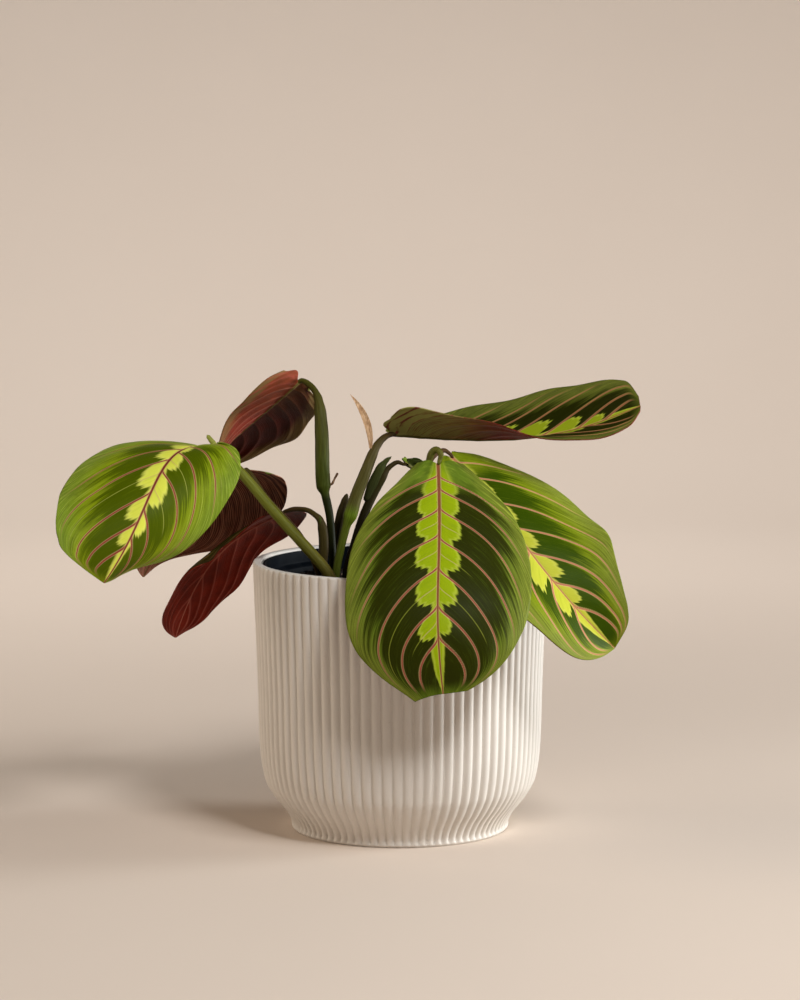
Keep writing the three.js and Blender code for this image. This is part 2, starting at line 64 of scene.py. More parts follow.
# The underside with its shallow ring recess, and the inside from the rim down, as (radius, height)
POT_UNDERSIDE = [(POLE, 0), (20, 0), (21, 0.9), (44, 0.9), (45, 0), (FOOT_RADIUS - 1, 0), (FOOT_RADIUS, 1)]
POT_INSIDE = [(RIM_RADIUS, POT_HEIGHT), (RIM_RADIUS - RIM_WALL, POT_HEIGHT), (62.4, 36), (60, 22),
              (54, 12), (51, POT_FLOOR), (POLE, POT_FLOOR)]


def grid_faces(rows, columns, closed=False):
    """Quads of a grid of points stored row by row. A closed grid's last column joins its first."""
    row = np.arange(rows - 1)[:, None] * columns
    column = np.arange(columns if closed else columns - 1)[None, :]
    after = (column + 1) % columns
    quads = [row + column, row + after, row + columns + after, row + columns + column]
    return np.stack(np.broadcast_arrays(*quads), -1).reshape(-1, 4)


def capped_rings(rings):
    """A closed body from rings of points, rows x columns x 3: quads between the rings, and a fan
    to the middle of the first and of the last ring."""
    rows, columns = rings.shape[:2]
    points = np.concatenate([rings.reshape(-1, 3), rings[0].mean(0)[None], rings[-1].mean(0)[None]])
    around = np.arange(columns)
    after = (around + 1) % columns
    last = (rows - 1) * columns
    low = np.stack([after, around, np.full(columns, rows * columns)], -1)
    high = np.stack([last + around, last + after, np.full(columns, rows * columns + 1)], -1)
    return points, grid_faces(rows, columns, True).tolist() + low.tolist() + high.tolist()


def make_piece(name, points, faces, material, slot, nodes=()):
    """A smooth mesh object from points in millimetres. It rides on the one body and stands for the
    CAD nodes named. The slot argument is not used."""
    mesh = bpy.data.meshes.new(name)
    mesh.from_pydata(np.asarray(points) * MM, [], faces)
    mesh.shade_smooth()
    mesh.materials.append(material)
    piece = bpy.data.objects.new(name, mesh)
    bpy.context.scene.collection.objects.link(piece)
    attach(piece, "root")
    if nodes:
        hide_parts(*nodes)
    return piece


def rounded(profile, bends):
    """A profile of (radius, height) points with bends drawn as arcs. bends gives, for a point's
    place in the profile, how far from it the arc starts and ends. The arc is
    (1-u)^2 start + 2u(1-u) corner + u^2 end."""
    profile = np.asarray(profile, float)
    u = np.linspace(0, 1, 7)[:, None]
    rows = []
    for i, corner in enumerate(profile):
        if i not in bends:
            rows.append(corner[None])
            continue
        before, after = profile[i - 1] - corner, profile[i + 1] - corner
        start = corner + before / np.linalg.norm(before) * bends[i]
        end = corner + after / np.linalg.norm(after) * bends[i]
        rows.append((1 - u) ** 2 * start + 2 * u * (1 - u) * corner + u**2 * end)
    return np.concatenate(rows)


def smoothstep(value, low, high):
    """0 below low, 1 above high, and 3x^2 - 2x^3 between them."""
    share = np.clip((value - low) / (high - low), 0, 1)
    return share * share * (3 - 2 * share)


def smooth_through(places, sizes, at):
    """A smooth curve through sizes at given places: between two of them a cubic whose slope at
    each is that of the line through its two neighbours."""
    places, sizes = np.asarray(places, float), np.asarray(sizes, float)
    before, after = [np.clip(np.arange(len(places)) + step, 0, len(places) - 1) for step in (-1, 1)]
    slope = (sizes[after] - sizes[before]) / (places[after] - places[before])
    low = np.clip(np.searchsorted(places, at) - 1, 0, len(places) - 2)
    step = places[low + 1] - places[low]
    u = (at - places[low]) / step
    rise = u * u * (3 - 2 * u)
    bow = step * u * (1 - u) * ((1 - u) * slope[low] - u * slope[low + 1])
    return sizes[low] * (1 - rise) + sizes[low + 1] * rise + bow


def turned(profile, columns):
    """Rings of a profile turned round Z: (r cos a, r sin a, z), with a from the -Y side."""
    angle = np.linspace(0, 2 * np.pi, columns, endpoint=False) - np.pi / 2
    radius, height = profile[:, 0, None], profile[:, 1, None]
    flat = [radius * np.cos(angle), radius * np.sin(angle), height + 0 * angle]
    return np.stack(flat, -1)


def pot_rings():
    """Turned pot whose outside is pressed in by depth x (1 - (1 - c^2)^0.5), where c is 0 in the
    middle of a rib and nearly 1 in the groove beside it, so that each rib is half round."""
    heights = np.concatenate([np.linspace(1.8, 42, 46), np.linspace(46, 122, 16)])
    wall = np.column_stack([smooth_through(WALL_HEIGHTS, WALL_RADII, heights), heights])
    rim = len(POT_UNDERSIDE) + len(wall)
    bends = {6: 0.6, rim: RIM_ROUNDING, rim + 1: RIM_ROUNDING, rim + 2: 5, rim + 3: 4}
    rings = turned(rounded([*POT_UNDERSIDE, *wall, *POT_INSIDE], bends), RIBS * STEPS_PER_RIB)
    radius = np.hypot(rings[..., 0], rings[..., 1])
    angle = np.arctan2(rings[..., 0], -rings[..., 1]) - RIB_PHASE
    across = 0.99 * np.abs(2 * np.mod(angle * RIBS / (2 * np.pi), 1) - 1)
    height = rings[..., 2]
    first_inner = np.argmax(rings[:, 0, 2] > POT_HEIGHT - 0.01) + 3
    outer = (radius > FOOT_RADIUS - 2) & (np.arange(len(rings)) < first_inner)[:, None]
    fade = smoothstep(height, 0.2, 3) * (1 - smoothstep(height, POT_HEIGHT - 1.2, POT_HEIGHT + 0.4))
    press = RIB_DEPTH * fade * (1 - np.sqrt(1 - across**2))
    share = np.where(outer, 1 - press / radius, 1)[..., None]
    return rings * np.concatenate([share, share, np.ones_like(share)], -1)


def feed(tree, socket, value):
    """Gives a shader socket a number, a colour or another node's output."""
    if isinstance(value, bpy.types.NodeSocket):
        tree.links.new(value, socket)
    elif isinstance(value, tuple) and len(value) == 3 and socket.type == "RGBA":
        socket.default_value = (*value, 1)
    else:
        socket.default_value = value


def put(tree, kind, values=(), out=0, **settings):
    """Adds a shader node with its settings and with its inputs by place or by name. Returns one of
    its outputs."""
    node = tree.nodes.new("ShaderNode" + kind)
    for key, value in settings.items():
        setattr(node, key, value)
    for place, value in (values.items() if isinstance(values, dict) else enumerate(values)):
        feed(tree, node.inputs[place], value)
    return node.outputs[out]


def calc(tree, operation, *values):
    """One step of arithmetic on numbers and outputs."""
    return put(tree, "Math", values, operation=operation)


def times(tree, first, *others):
    """The product of all the values."""
    for other in others:
        first = calc(tree, "MULTIPLY", first, other)
    return first


def ease(tree, value, low, high):
    """A smooth step from 0 at low to 1 at high."""
    return put(tree, "MapRange", {0: value, 1: low, 2: high}, interpolation_type="SMOOTHSTEP")


def blend_colours(tree, share, first, second):
    """The first colour at a share of 0, the second at 1, and a mix between them."""
    return put(tree, "Mix", {0: share, 6: first, 7: second}, out=2, data_type="RGBA")


def noise(tree, vector, scale, detail=3, roughness=0.55):
    """Cloudy noise from 0 to 1, with about scale lumps to each unit of the vector."""
    values = {"Vector": vector, "Scale": scale, "Detail": detail, "Roughness": roughness}
    return put(tree, "TexNoise", values)


def new_material(name, roughness, specular):
    """A Principled material, its node tree and its shader."""
    material = bpy.data.materials.new(name)
    material.use_nodes = True
    shader = material.node_tree.nodes["Principled BSDF"]
    shader.inputs["Roughness"].default_value = roughness
    shader.inputs["Specular IOR Level"].default_value = specular
    return material, material.node_tree, shader


def new_group(name, inputs, outputs):
    """A shader node group with named sockets: the group, its inputs by name and its output node."""
    group = bpy.data.node_groups.new(name, "ShaderNodeTree")
    for label, kind, value in inputs:
        socket = group.interface.new_socket(label, in_out="INPUT", socket_type="NodeSocket" + kind)
        if value is not None:
            socket.default_value = (*value, 1) if kind == "Color" else value
    for label, kind in outputs:
        group.interface.new_socket(label, in_out="OUTPUT", socket_type="NodeSocket" + kind)
    entry, leave = group.nodes.new("NodeGroupInput"), group.nodes.new("NodeGroupOutput")
    return group, entry.outputs, leave


def use_group(tree, group, values):
    """Places a shader node group and gives its inputs by name. Returns the group node's outputs."""
    node = tree.nodes.new("ShaderNodeGroup")
    node.node_tree = group
    for label, value in values.items():
        feed(tree, node.inputs[label], value)
    return node.outputs


def raise_surface(tree, shader, height, distance, strength=1.0):
    """Feeds the shader's normal from a height, where 1 stands distance metres proud."""
    bump = put(tree, "Bump", {"Height": height, "Distance": distance, "Strength": strength})
    tree.links.new(bump, shader.inputs["Normal"])


def object_place(tree):
    """The place on the object, in metres."""
    return put(tree, "TexCoord", out=3)


def pot_glaze():
    """Matt warm-white glaze with a very fine grain, soft mottling and faint dust-coloured specks."""
    material, tree, shader = new_material("white_glaze", 0.5, 0.4)
    place = object_place(tree)
    mottle = noise(tree, place, 45, 4)
    grain = noise(tree, place, 2600, 2)
    speck = times(tree, ease(tree, noise(tree, place, 900, 1), 0.70, 0.78), 0.25)
    tone = blend_colours(tree, mottle, (0.66, 0.615, 0.555), (0.70, 0.66, 0.605))
    feed(tree, shader.inputs["Base Color"], blend_colours(tree, speck, tone, (0.5, 0.43, 0.37)))
    height = calc(tree, "ADD", grain, times(tree, mottle, 0.5))
    raise_surface(tree, shader, height, 0.00006, 0.5)
    return material


make_piece("ribbed_cover_pot", *capped_rings(pot_rings()), pot_glaze(), "cover_pot", ["cover_pot"])

# Grow pot
# A black injection-moulded plastic pot that stands inside the cover pot. It tapers down from an
# upright collar with a rounded rim, and six drain holes go through its floor.
GAP = 0.3
GROW_POT_BASE = POT_FLOOR + GAP
GROW_POT_WALL = 1.4
GROW_POT_FLOOR = GROW_POT_BASE + GROW_POT_WALL
COLLAR_BASE = 120.4
COLLAR_TOP = 127.4
COLLAR_RADIUS = 65.3
GROW_POT_SIDES = 160
DRAIN_HOLES = 6
DRAIN_HOLE_RING = 30
DRAIN_HOLE_RADIUS = 4


def cut_drain_holes(pot):
    """Cuts the floor's round holes with one cylinder each, joined in one cutter."""
    angle = np.linspace(0, 2 * np.pi, 24, endpoint=False)
    points, faces = [], []
    for turn in np.arange(DRAIN_HOLES) * 2 * np.pi / DRAIN_HOLES:
        ring = np.stack([DRAIN_HOLE_RADIUS * np.cos(angle), DRAIN_HOLE_RADIUS * np.sin(angle)], -1)
        ring += DRAIN_HOLE_RING * np.array([np.cos(turn), np.sin(turn)])
        levels = (GROW_POT_BASE - 2, GROW_POT_BASE + 5)
        rings = np.stack([np.column_stack([ring, np.full(len(ring), level)]) for level in levels])
        body, quads = capped_rings(rings)
        faces += [[corner + sum(map(len, points)) for corner in face] for face in quads]
        points.append(body)
    mesh = bpy.data.meshes.new("drain_hole_cutter")
    mesh.from_pydata(np.concatenate(points) * MM, [], faces)
    cutter = bpy.data.objects.new("drain_hole_cutter", mesh)
    bpy.context.scene.collection.objects.link(cutter)
    cut = pot.modifiers.new("drain_holes", "BOOLEAN")
    cut.object, cut.operation, cut.solver = cutter, "DIFFERENCE", "EXACT"
    bpy.context.view_layer.update()
    holed = bpy.data.meshes.new_from_object(pot.evaluated_get(bpy.context.evaluated_depsgraph_get()))
    pot.modifiers.clear()
    pot.data = holed
    bpy.data.objects.remove(cutter)


def dark_plastic():
    """Black polypropylene: slightly blue, with moulding marks and a film of dust."""
    material, tree, shader = new_material("grow_pot_plastic", 0.5, 0.03)
    place = object_place(tree)
    dust = noise(tree, place, 120, 5, 0.6)
    dusty = ease(tree, dust, 0.45, 0.75)
    tone = blend_colours(tree, dusty, (0.003, 0.0045, 0.007), (0.008, 0.010, 0.013))
    feed(tree, shader.inputs["Base Color"], tone)
    feed(tree, shader.inputs["Roughness"], put(tree, "MapRange", {0: dust, 3: 0.35, 4: 0.6}))
    raise_surface(tree, shader, noise(tree, place, 700, 2), 0.00008, 0.5)
    return material


# The pot's section from under its middle, up the outside and down the inside, as (radius, height)
grow_pot_section = [
    (POLE, GROW_POT_BASE), (49, GROW_POT_BASE), (50, GROW_POT_BASE + 2), (62.6, COLLAR_BASE - 1.5),
    (COLLAR_RADIUS, COLLAR_BASE), (COLLAR_RADIUS, COLLAR_TOP),
    (COLLAR_RADIUS - GROW_POT_WALL, COLLAR_TOP), (COLLAR_RADIUS - GROW_POT_WALL, COLLAR_BASE + 1.2),
    (61.2, COLLAR_BASE - 0.4), (48.6, GROW_POT_FLOOR + 1), (47.6, GROW_POT_FLOOR), (POLE, GROW_POT_FLOOR),
]
grow_pot_bends = {1: 0.6, 3: 0.8, 4: 0.9, 5: 0.65, 6: 0.65, 7: 0.8, 8: 0.8}
grow_pot_rings = turned(rounded(grow_pot_section, grow_pot_bends), GROW_POT_SIDES)
grow_pot = make_piece("grow_pot_shell", *capped_rings(grow_pot_rings), dark_plastic(),
                      "grow_pot", ["grow_pot"])
cut_drain_holes(grow_pot)

# Soil
# Dark moist potting mix of peat and fine bark. It fills the grow pot to about 10 mm under its
# rim, with crumbs, bark chips and a few pale grains on top.
SOIL_LEVEL = 117
SOIL_BASE = 11
SOIL_RADIUS = 60
SOIL_FOOT_RADIUS = 48.2
SOIL_SIDES = 240
SOIL_TOP_RINGS = 90
# Lumps of soil as (height, width, seed)
SOIL_LUMPS = ((0.55, 7, 1), (0.4, 3, 2), (0.22, 1.4, 3))


def lattice_noise(x, y, cell, seed):
    """Random heights from -1 to 1 on a square lattice, with smooth steps between its corners."""
    heights = np.random.default_rng(seed).uniform(-1, 1, (256, 256))
    column, row = np.floor(x / cell).astype(int), np.floor(y / cell).astype(int)
    across, up = smoothstep(x / cell - column, 0, 1), smoothstep(y / cell - row, 0, 1)
    corner = [[heights[(column + i) % 256, (row + j) % 256] for j in (0, 1)] for i in (0, 1)]
    low = corner[0][0] * (1 - across) + corner[1][0] * across
    high = corner[0][1] * (1 - across) + corner[1][1] * across
    return low * (1 - up) + high * up


def soil_height(x, y):
    """Broad swells of sines with the lengths of the CAD solid, and three sizes of lumps on them."""
    turn = 2 * np.pi
    broad = np.sin(turn * x / 46 + 1) * np.cos(turn * y / 38)
    short = np.sin(turn * x / 23 - turn * y / 31)
    lumps = sum(height * lattice_noise(x, y, width, seed) for height, width, seed in SOIL_LUMPS)
    return SOIL_LEVEL + 0.8 * (broad + 0.6 * short) + lumps


def soil_rings():
    """Rings up the side of the soil and in over its top, each a circle, the top ones raised by
    the soil's height."""
    side = [(POLE, SOIL_BASE), (46, SOIL_BASE), (SOIL_FOOT_RADIUS, SOIL_BASE + 2),
            (SOIL_RADIUS, SOIL_LEVEL - 3)]
    top = [(radius, SOIL_LEVEL) for radius in np.linspace(SOIL_RADIUS, POLE, SOIL_TOP_RINGS)]
    rings = turned(np.array([*side, *top]), SOIL_SIDES)
    level = rings[len(side):]
    level[..., 2] = soil_height(level[..., 0], level[..., 1])
    return rings


def scattered_grains(count, sizes, flatness, seed):
    """Copies of a 12-cornered grain. Each has its own random turn, size and corner lengths. It is
    pressed flat along one of its own axes and lies sunk a third into the soil."""
    draw = np.random.default_rng(seed)
    golden = (1 + np.sqrt(5)) / 2
    corners = np.array([
        (-1, golden, 0), (1, golden, 0), (-1, -golden, 0), (1, -golden, 0),
        (0, -1, golden), (0, 1, golden), (0, -1, -golden), (0, 1, -golden),
        (golden, 0, -1), (golden, 0, 1), (-golden, 0, -1), (-golden, 0, 1),
    ]) / np.hypot(1, golden)
    faces = np.array([
        (0, 11, 5), (0, 5, 1), (0, 1, 7), (0, 7, 10), (0, 10, 11), (1, 5, 9), (5, 11, 4), (11, 10, 2),
        (10, 7, 6), (7, 1, 8), (3, 9, 4), (3, 4, 2), (3, 2, 6), (3, 6, 8), (3, 8, 9), (4, 9, 5),
        (2, 4, 11), (6, 2, 10), (8, 6, 7), (9, 8, 1),
    ])
    radius = (SOIL_RADIUS - 2) * np.sqrt(draw.random(count))
    angle = draw.uniform(0, 2 * np.pi, count)
    x, y = radius * np.cos(angle), radius * np.sin(angle)
    size = draw.uniform(*sizes, count) * draw.uniform(0.5, 1, count)
    grain = corners[None] * draw.uniform(0.7, 1.15, (count, len(corners), 1))
    girth = np.stack([np.ones(count), draw.uniform(0.5, 0.9, count), np.full(count, flatness)], -1)
    grain = grain * girth[:, None]
    yaw, tip = draw.uniform(0, 2 * np.pi, count), draw.normal(0, 0.35, count)
    turned_x = grain[..., 0] * np.cos(yaw)[:, None] - grain[..., 1] * np.sin(yaw)[:, None]
    turned_y = grain[..., 0] * np.sin(yaw)[:, None] + grain[..., 1] * np.cos(yaw)[:, None]
    height = grain[..., 2] * np.cos(tip)[:, None] + turned_x * np.sin(tip)[:, None]
    place = np.stack([x, y, soil_height(x, y)], -1)
    shape = np.stack([turned_x, turned_y, height + flatness / 3], -1)
    points = place[:, None] + size[:, None, None] * shape
    first_corners = len(corners) * np.arange(count)[:, None, None]
    return points.reshape(-1, 3), (faces + first_corners).reshape(-1, 3).tolist()


def earth(name, dark, light):
    """Moist peat, bark or grit: a dark tone with lighter patches and fibres, rough all over."""
    material, tree, shader = new_material(name, 0.95, 0.3)
    place = object_place(tree)
    patch = noise(tree, place, 260, 6, 0.7)
    fibre = noise(tree, put(tree, "Mapping", {"Vector": place, "Scale": (1, 5, 2)}), 500, 4, 0.6)
    tone = blend_colours(tree, ease(tree, times(tree, patch, fibre), 0.2, 0.42), dark, light)
    feed(tree, shader.inputs["Base Color"], tone)
    raise_surface(tree, shader, noise(tree, place, 1500, 5, 0.7), 0.0006)
    return material


make_piece("soil_surface", *capped_rings(soil_rings()),
           earth("peat", (0.006, 0.004, 0.003), (0.035, 0.022, 0.014)), "soil", ["soil"])
make_piece("soil_crumbs", *scattered_grains(1500, (0.5, 1.9), 0.7, 11),
           earth("peat_crumb", (0.007, 0.005, 0.004), (0.045, 0.028, 0.018)), "soil")
make_piece("bark_chips", *scattered_grains(260, (1.4, 4.2), 0.22, 12),
           earth("bark", (0.02, 0.011, 0.007), (0.085, 0.048, 0.028)), "soil")
make_piece("pale_soil_grains", *scattered_grains(70, (0.5, 1.5), 0.6, 17),
           earth("pale_grain", (0.3, 0.2, 0.13), (0.6, 0.47, 0.36)), "soil")

# Leaf stalks
# Each leaf has a slim stalk that comes up through the soil. Its lower part is wrapped in a leaf
# sheath, and a smooth swollen joint carries the blade. Younger shoots stand in the sheaths.
STALK_SIDES = 20
STALK_STEP = 0.8
STALK_RIBS = 9
STALK_RIB_HEIGHT = 0.035
# A direction that no stem runs along, from which its skin is laid round it
SKIN_START = np.array([0.15, 1, 0.1])
SKIN_OUTPUTS = [("Tone", "Color"), ("Height", "Float"), ("Roughness", "Float")]

# Each leaf has its stalk first and then the shoot beside it, where there is one. A stem is a row
# of points, (x, y, z, radius), from below upwards.
STALKS = {
    "left_front": [
        [(-26.5, -10.8, 109, 2.4), (-33.8, -10, 123, 2.6), (-40.7, -9, 131.6, 2.6), (-47.3, -8, 138.8, 2.6),
         (-61.6, -5, 154.5, 2.5), (-74.4, -2, 169.4, 2.4), (-84.5, 1.5, 178.5, 2), (-91, 2.4, 182.2, 1.3),
         (-93.9, -0.7, 182.5, 0.9), (-95.4, -3.6, 182.8, 0.7)],
        [(-83.6, 1.5, 178, 1.6), (-88.4, 2.6, 183.7, 1.3), (-91.7, 3.6, 187.9, 1)],
    ],
    "left_top": [
        [(-31.2, 5.6, 108, 1.9), (-32, 6.4, 125, 1.9), (-33.4, 8, 146.8, 1.9), (-35.6, 10, 158, 2),
         (-36.6, 11, 162.7, 3.5), (-37.1, 12, 170.3, 3.5), (-37.4, 15, 184.4, 3.4), (-38.1, 18, 196.1, 3),
         (-39.1, 21, 203.1, 2.1), (-40.8, 24, 207, 1.6), (-43.7, 27, 210, 1.5), (-47.4, 29.2, 211.8, 1.2),
         (-50.4, 30.4, 209.4, 0.8)],
    ],
    "left_back": [
        [(-35.2, -5, 109, 1.3), (-39.2, -4, 124, 1.3), (-47.6, -0.6, 140.6, 1.2), (-62.9, 3.6, 157.2, 1.2),
         (-70, 5, 167.4, 1.2), (-73, 9, 170.6, 1), (-74.4, 12.6, 170.2, 0.8)],
    ],
    "left_low": [
        [(-37.4, 1.6, 108, 2.1), (-36.9, 2, 124, 2.1), (-36.4, 3, 135.3, 2.4), (-36.9, 3.6, 142.5, 2.3),
         (-38.1, 3.8, 147.2, 1.7), (-40.8, 5, 149.7, 1.3), (-44.4, 8, 151.4, 1.2), (-50, 12.6, 151.4, 1.2),
         (-54.2, 15.6, 150.2, 1), (-57.4, 19, 148.2, 0.8)],
        [(-36.7, 3.4, 141.5, 1.5), (-37.9, 2.8, 146.4, 1), (-38.2, 2.6, 149.1, 0.4)],
    ],
    "right_top": [
        [(-31.6, -3.8, 108, 1.9), (-30.3, -3.6, 123, 1.9), (-28.3, -3, 133.7, 1.9), (-25.6, -2, 144.5, 2),
         (-23.5, -1, 150.4, 3.3), (-20.7, 1, 159.3, 3), (-17.1, 3, 168.4, 2.8), (-13.6, 6, 177.1, 2.5),
         (-11.2, 8, 182, 2), (-8.1, 11, 185.5, 1.6), (-4.8, 14.8, 187, 1.3), (-1, 16.4, 187, 1)],
    ],
    "middle": [
        [(-27, 1.6, 108, 2), (-25.2, 1.6, 123.5, 2), (-21.9, 2, 135.4, 2), (-17.6, 3, 148.7, 2.1),
         (-12.9, 5, 159, 2.1), (-8.6, 6, 166.6, 1.9), (-5.8, 7, 171.4, 1.3), (-2.4, 7.8, 174, 1.1),
         (-0.6, 7.8, 174.4, 1), (1.4, 7.4, 173.6, 0.8), (4.2, 9.2, 173, 0.6)],
        [(-16.2, 4, 155.6, 2), (-12.8, 5.4, 164.2, 2.6), (-9.5, 5.6, 171.4, 2.2), (-6.7, 5.6, 175.2, 1.2),
         (-4, 5.6, 177.4, 0.4)],
    ],
    "front": [
        [(-26, -4.5, 108, 2), (-20.5, -8, 122, 2), (-11, -14, 140, 2), (0, -20, 156, 2),
         (9, -24.4, 168, 1.8), (13, -25.4, 176.5, 1.6), (14.6, -26.2, 182, 1.7), (17, -27.6, 184, 1.6),
         (19, -29, 182, 1.4), (18.4, -29.7, 179.2, 1), (17.9, -31.4, 177.4, 0.8)],
    ],
    "right_low": [
        [(-21.6, 0.2, 108, 2), (-16.8, -0.8, 122, 2), (-9.5, -2, 140, 2), (2, -5, 158, 1.9),
         (11, -6.5, 171.5, 1.6), (16, -4.6, 178.8, 1.3), (20.4, -1.2, 181, 1.1), (23, -0.2, 179.8, 0.9),
         (25.4, -1.6, 177.6, 0.7)],
    ],
}

# The colours of each stalk's first stem, as (share of its length, colour)
STALK_TONES = {
    "left_front": [(0, (0.1, 0.06, 0.015)), (0.2, (0.11, 0.1, 0.012)), (0.5, (0.14, 0.15, 0.014)),
                   (0.8, (0.18, 0.2, 0.022)), (0.9, (0.12, 0.14, 0.015)), (1, (0.08, 0.09, 0.01))],
    "left_top": [(0, (0.010, 0.010, 0.002)), (0.42, (0.014, 0.018, 0.002)), (0.45, (0.045, 0.06, 0.005)),
                 (0.55, (0.05, 0.063, 0.006)), (0.8, (0.07, 0.065, 0.012)), (0.9, (0.07, 0.065, 0.01)),
                 (1, (0.08, 0.08, 0.01))],
    "left_back": [(0, (0.04, 0.02, 0.006)), (0.5, (0.06, 0.036, 0.01)), (1, (0.07, 0.055, 0.01))],
    "left_low": [(0, (0.03, 0.018, 0.004)), (0.5, (0.05, 0.038, 0.008)), (0.7, (0.07, 0.05, 0.012)),
                 (1, (0.06, 0.03, 0.01))],
    "right_top": [(0, (0.07, 0.085, 0.006)), (0.4, (0.085, 0.11, 0.007)), (0.46, (0.11, 0.17, 0.005)),
                  (0.52, (0.08, 0.075, 0.014)), (0.8, (0.078, 0.062, 0.016)), (0.93, (0.06, 0.036, 0.01)),
                  (1, (0.05, 0.035, 0.01))],
    # The middle stalk's near-black lower half is painted shadow for the shade it stands in
    "middle": [(0, (0.006, 0.004, 0.0015)), (0.5, (0.01, 0.007, 0.002)), (0.75, (0.03, 0.025, 0.005)),
               (1, (0.05, 0.03, 0.009))],
    "front": [(0, (0.04, 0.025, 0.008)), (0.6, (0.07, 0.045, 0.014)), (0.78, (0.07, 0.05, 0.013)),
              (0.86, (0.1, 0.1, 0.014)), (1, (0.1, 0.1, 0.012))],
    "right_low": [(0, (0.03, 0.02, 0.007)), (0.6, (0.06, 0.035, 0.012)), (0.85, (0.09, 0.045, 0.018)),
                  (1, (0.09, 0.05, 0.018))],
}

# The colours of the side shoots
SHOOT_TONES = {
    "left_front": [(0, (0.20, 0.22, 0.03)), (0.4, (0.34, 0.36, 0.06)), (1, (0.30, 0.32, 0.05))],
    "left_low": [(0, (0.04, 0.042, 0.008)), (1, (0.06, 0.075, 0.01))],
    "middle": [(0, (0.025, 0.028, 0.008)), (1, (0.05, 0.06, 0.012))],
}


def unit(vectors):
    """The vectors at a length of one."""
    return vectors / np.linalg.norm(vectors, axis=-1, keepdims=True)


def smooth_path(points, step):
    """A Catmull-Rom curve through the points at even steps of its length. Between two points it is
    the cubic with half the chord of the two neighbours as its end slopes. The radius eases from
    point to point. Returns the places, the radii and the distance along."""
    points = np.asarray(points, float)
    ends = [2 * points[0] - points[1]], points, [2 * points[-1] - points[-2]]
    chain = np.concatenate(ends)
    slope = (chain[2:] - chain[:-2]) / 2
    place = np.linspace(0, len(points) - 1, 40 * len(points))
    before = np.minimum(place.astype(int), len(points) - 2)
    u = (place - before)[:, None]
    start, end = points[before], points[before + 1]
    curve = (2 * u**3 - 3 * u**2 + 1) * start + (u**3 - 2 * u**2 + u) * slope[before]
    curve += (3 * u**2 - 2 * u**3) * end + (u**3 - u**2) * slope[before + 1]
    share = smoothstep(u, 0, 1)
    curve[:, 3] = (start + (end - start) * share)[:, 3]
    along = np.concatenate([[0], np.cumsum(np.linalg.norm(np.diff(curve[:, :3], axis=0), axis=1))])
    even = np.linspace(0, along[-1], max(8, int(along[-1] / step)))
    even_curve = np.stack([np.interp(even, along, curve[:, k]) for k in range(4)], -1)
    return even_curve[:, :3], even_curve[:, 3], even


def stem_rings(points, step=STALK_STEP):
    """A round stem with faint lengthwise ribs, radius x (1 + h cos(ribs a)), whose ends close in a
    half circle. The angle a counts from the skin's start, projected onto the plane square to the
    stem. Also gives for each corner (cos a, sin a, distance along)."""
    path, radius, along = smooth_path(points, step)
    forward = unit(np.gradient(path, axis=0))
    across = unit(SKIN_START - forward * (forward @ SKIN_START)[:, None])
    upward = np.cross(forward, across)
    from_end = np.minimum(along, along[-1] - along)
    cap = np.minimum(1, (from_end + 0.02) / radius)
    radius = radius * np.sqrt(1 - (1 - cap) ** 2)
    angle = np.linspace(0, 2 * np.pi, STALK_SIDES, endpoint=False)
    wobble = 1 + STALK_RIB_HEIGHT * np.cos(STALK_RIBS * angle)
    wobble = wobble + 0.01 * np.sin(along[:, None] * 0.5 + 2 * angle)
    reach = (radius[:, None] * wobble)[..., None]
    ring = across[:, None] * np.cos(angle)[:, None] + upward[:, None] * np.sin(angle)[:, None]
    skin = np.stack(np.broadcast_arrays(np.cos(angle), np.sin(angle), along[:, None] * MM), -1)
    return path[:, None] + reach * ring, skin


def tones_along(stops, share):
    """Colours between the stops, by the share of the stem's length."""
    places = [place for place, _ in stops]
    return np.stack([np.interp(share, places, [tone[k] for _, tone in stops]) for k in range(3)], -1)


def write_attribute(mesh, name, kind, domain, values):
    """Puts one number, vector or colour on each point or corner of a mesh."""
    field = {"FLOAT": "value", "FLOAT_VECTOR": "vector", "FLOAT_COLOR": "color"}[kind]
    attribute = mesh.attributes.new(name, kind, domain)
    attribute.data.foreach_set(field, np.ascontiguousarray(values, np.float32).ravel())


def stem_piece(name, stems, tones, material, slot, nodes):
    """One mesh of a stalk and its side shoot. Each point has its place on the skin and its tint."""
    all_points, all_faces, skins, tints = [], [], [], []
    for stem, stops in zip(stems, tones):
        rings, skin = stem_rings(stem)
        points, faces = capped_rings(rings)
        start = sum(map(len, all_points))
        all_points.append(points)
        all_faces += [[corner + start for corner in face] for face in faces]
        place = np.concatenate([skin.reshape(-1, 3), skin[0].mean(0)[None], skin[-1].mean(0)[None]])
        skins.append(place)
        tints.append(tones_along(stops, place[:, 2] / place[:, 2].max()))
    piece = make_piece(name, np.concatenate(all_points), all_faces, material, slot, nodes)
    tint = np.concatenate(tints)
    tint = np.column_stack([tint, np.ones(len(tint))])
    write_attribute(piece.data, "skin", "FLOAT_VECTOR", "POINT", np.concatenate(skins))
    write_attribute(piece.data, "tint", "FLOAT_COLOR", "POINT", tint)


